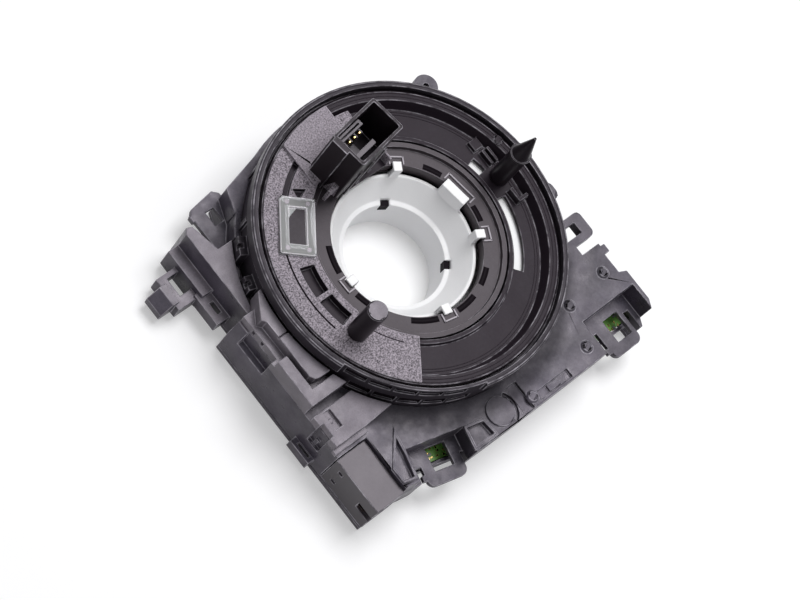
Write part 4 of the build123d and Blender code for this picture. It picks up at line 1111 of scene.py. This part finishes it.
class CLOCK_OT_board(PieceOperator, bpy.types.Operator):
    """Finish the circuit board and what sits on it"""

    bl_idname = "clock.board"
    bl_label = "Board"
    pieces = (
        ("circuit_board", "green_board", "fine_edge"),
        ("control_chip", "main_chip", "fine_edge"),
        ("capacitors", "cans", "fine_edge"),
        ("fork_sensors", "light_forks", "fine_edge"),
    )

    def execute(self, context):
        super().execute(context)
        board = frame["nodes"]["circuit_board"].data
        for bay, spot in BOARD_SPOTS.items():
            middle = tuple(Vector(spot) * MM)
            for ending, finish, slot_node, seed, density, size in BOARD_THINGS:
                grown(bay + ending, "board_parts", finish, BODY_OF["circuit_board"],
                      SLOT_OF[slot_node], board.copy(), middle=middle, reach=BOARD_REACH * MM,
                      seed=seed, density=density, size=tuple(side * MM for side in size))
        return {"FINISHED"}


class CLOCK_OT_inside(bpy.types.Operator):
    """Finish the ribbon, the carrier, the rollers and the code disc"""

    bl_idname = "clock.inside"
    bl_label = "Inside"

    def execute(self, context):
        edge = context.scene.clock_surface.fine_edge * INSIDE_EDGE_SHARE
        for node in INSIDE_NODES:
            rounded_piece(node, node + "_finished", edge)
        return {"FINISHED"}


class CLOCK_OT_screws(PieceOperator, bpy.types.Operator):
    """Finish the screws of the rear cover"""

    bl_idname = "clock.screws"
    bl_label = "Screws"
    pieces = (("cover_screws", "back_screws", "fine_edge"),)

    def execute(self, context):
        super().execute(context)
        # Dark prisms of painted shade in the screws' sockets, on the low ends of the screws
        mesh = bpy.data.meshes.new("screw_sockets")
        mesh.from_pydata(low_ends("cover_screws", SCREW_APART * MM), [], [])
        grown("screw_sockets", "point_marks", "deep_black", *home("cover_screws"), mesh,
              **SCREW_SOCKET_SHADE)
        return {"FINISHED"}


# Stage

CAMERA_RIGHT = Vector((0.7004, -0.6151, 0.3622))
CAMERA_UP = Vector((0.4873, 0.7829, 0.3870))
CAMERA_BACK = Vector((-0.5215, -0.0945, 0.8480))
CAMERA_TARGET = Vector((0.0, 0.0, 0.031))
PHOTO_SHIFT = (-0.018, -0.0833)
SENSOR_WIDTH = 36.0
NEAREST = 0.01
FLOOR_HALF = 4.0
FLOOR_CELLS = 8
FLOOR_COLOUR = (0.72, 0.72, 0.73)
FLOOR_LIFT = 0.34
FLOOR_SPECKS = 40.0
FLOOR_UNEVENNESS = 0.004
WORLD_COLOUR = (0.985, 0.985, 1.0, 1.0)
LAMP_AIM = (0, 0, 0.02)
SOFTBOX_SIZE, SOFTBOX_PLACE = 0.62, (0.36, 0.12, 1.05)
FILL_SIZE, FILL_PLACE = 0.7, (-0.5, -0.9, 0.6)


def seen_rays(tree):
    """1 for the rays of the camera, of reflections and through clear pieces, and 0 for others."""
    rays = tree.nodes.new("ShaderNodeLightPath").outputs
    seen = math_node(tree, "MAXIMUM", rays["Is Camera Ray"], rays["Is Glossy Ray"])
    return math_node(tree, "MAXIMUM", seen, rays["Is Transmission Ray"])


def pale_surface(name, colour, lift):
    """A floor finish that stays pale to the camera and in reflections, and keeps its shadow."""
    tree, shader = fresh_material(name)
    shader.inputs["Roughness"].default_value = 0.9
    shader.inputs["Specular IOR Level"].default_value = 0.1
    speck = around_one(tree, noise(tree, FLOOR_SPECKS, 3.0), FLOOR_UNEVENNESS)
    mottled = mix_colour(tree, "MULTIPLY", 1.0, opaque(colour), grey(tree, speck))
    tree.links.new(mottled, shader.inputs["Base Color"])
    shader.inputs["Emission Color"].default_value = NO_TINT
    tree.links.new(times(tree, seen_rays(tree), lift), shader.inputs["Emission Strength"])


def make_world(scene, strength):
    """Even light, and white where the camera or a reflection sees it."""
    world = bpy.data.worlds.new("even_light")
    world.use_nodes = True
    scene.world = world
    tree = world.node_tree
    background = tree.nodes["Background"]
    background.inputs["Color"].default_value = WORLD_COLOUR
    lifted = times(tree, seen_rays(tree), 1.0 - strength)
    tree.links.new(plus(tree, lifted, strength), background.inputs["Strength"])


def soft_lamp(name, power, size, position):
    """A square lamp that looks at the part."""
    lamp = bpy.data.lights.new(name, "AREA")
    lamp.energy = power
    lamp.shape = "SQUARE"
    lamp.size = size
    thing = bpy.data.objects.new(name, lamp)
    bpy.context.scene.collection.objects.link(thing)
    thing.location = position
    toward = Vector(LAMP_AIM) - Vector(position)
    thing.rotation_euler = toward.to_track_quat("-Z", "Y").to_euler()


class CLOCK_OT_stage(bpy.types.Operator):
    """Make the camera, the floor and the lights"""

    bl_idname = "clock.stage"
    bl_label = "Stage"

    def execute(self, context):
        scene = context.scene
        stage = scene.clock_stage
        scene.view_settings.view_transform = "Standard"
        camera = bpy.data.cameras.new("camera")
        camera.lens = stage.lens
        camera.sensor_width = SENSOR_WIDTH
        camera.shift_x, camera.shift_y = PHOTO_SHIFT
        camera.clip_start = NEAREST
        eye = bpy.data.objects.new("camera", camera)
        scene.collection.objects.link(eye)
        turn = Matrix((CAMERA_RIGHT, CAMERA_UP, CAMERA_BACK)).transposed()
        standpoint = CAMERA_TARGET + CAMERA_BACK * stage.distance
        eye.matrix_world = Matrix.Translation(standpoint) @ turn.to_4x4()
        scene.camera = eye
        shape = bmesh.new()
        bmesh.ops.create_grid(shape, x_segments=FLOOR_CELLS, y_segments=FLOOR_CELLS,
                              size=FLOOR_HALF)
        bmesh.ops.translate(shape, verts=shape.verts, vec=(0, 0, CAD_BOX[0][2] - stage.floor_drop))
        pale_surface("floor_pale", FLOOR_COLOUR, FLOOR_LIFT)
        floor = new_piece("floor", mesh_of("floor", shape), "floor_pale")
        make_world(scene, stage.world)
        soft_lamp("softbox", stage.softbox, SOFTBOX_SIZE, SOFTBOX_PLACE)
        soft_lamp("fill", stage.fill, FILL_SIZE, FILL_PLACE)
        return {"FINISHED"}


class CLOCK_PT_panel(bpy.types.Panel):
    """Sidebar panel of the clock spring"""

    bl_idname = "CLOCK_PT_panel"
    bl_label = "Clock spring"
    bl_space_type = "VIEW_3D"
    bl_region_type = "UI"
    bl_category = "Clock Spring"

    def draw(self, context):
        scene = context.scene
        for group in (scene.clock_colours, scene.clock_surface, scene.clock_stage):
            box = self.layout.box()
            for name in group.__annotations__:
                box.prop(group, name)
        for operator in OPERATORS:
            self.layout.operator(operator.bl_idname)


OPERATORS = (
    CLOCK_OT_stage, CLOCK_OT_housing, CLOCK_OT_covers, CLOCK_OT_cassette, CLOCK_OT_disc,
    CLOCK_OT_disc_lines, CLOCK_OT_ring, CLOCK_OT_hub_details, CLOCK_OT_tower, CLOCK_OT_pins,
    CLOCK_OT_connector, CLOCK_OT_board, CLOCK_OT_inside, CLOCK_OT_screws,
)
GROUPS = (CLOCK_PG_colours, CLOCK_PG_surface, CLOCK_PG_stage)


def register():
    for item in GROUPS + OPERATORS + (CLOCK_PT_panel,):
        bpy.utils.register_class(item)
    bpy.types.Scene.clock_colours = PointerProperty(type=CLOCK_PG_colours)
    bpy.types.Scene.clock_surface = PointerProperty(type=CLOCK_PG_surface)
    bpy.types.Scene.clock_stage = PointerProperty(type=CLOCK_PG_stage)


def unregister():
    del bpy.types.Scene.clock_stage
    del bpy.types.Scene.clock_surface
    del bpy.types.Scene.clock_colours
    for item in reversed(GROUPS + OPERATORS + (CLOCK_PT_panel,)):
        bpy.utils.unregister_class(item)


def main():
    register()
    make_materials(bpy.context.scene)
    for operator in OPERATORS:
        group, name = operator.bl_idname.split(".")
        getattr(getattr(bpy.ops, group), name)()


if __name__ == "__main__":
    main()
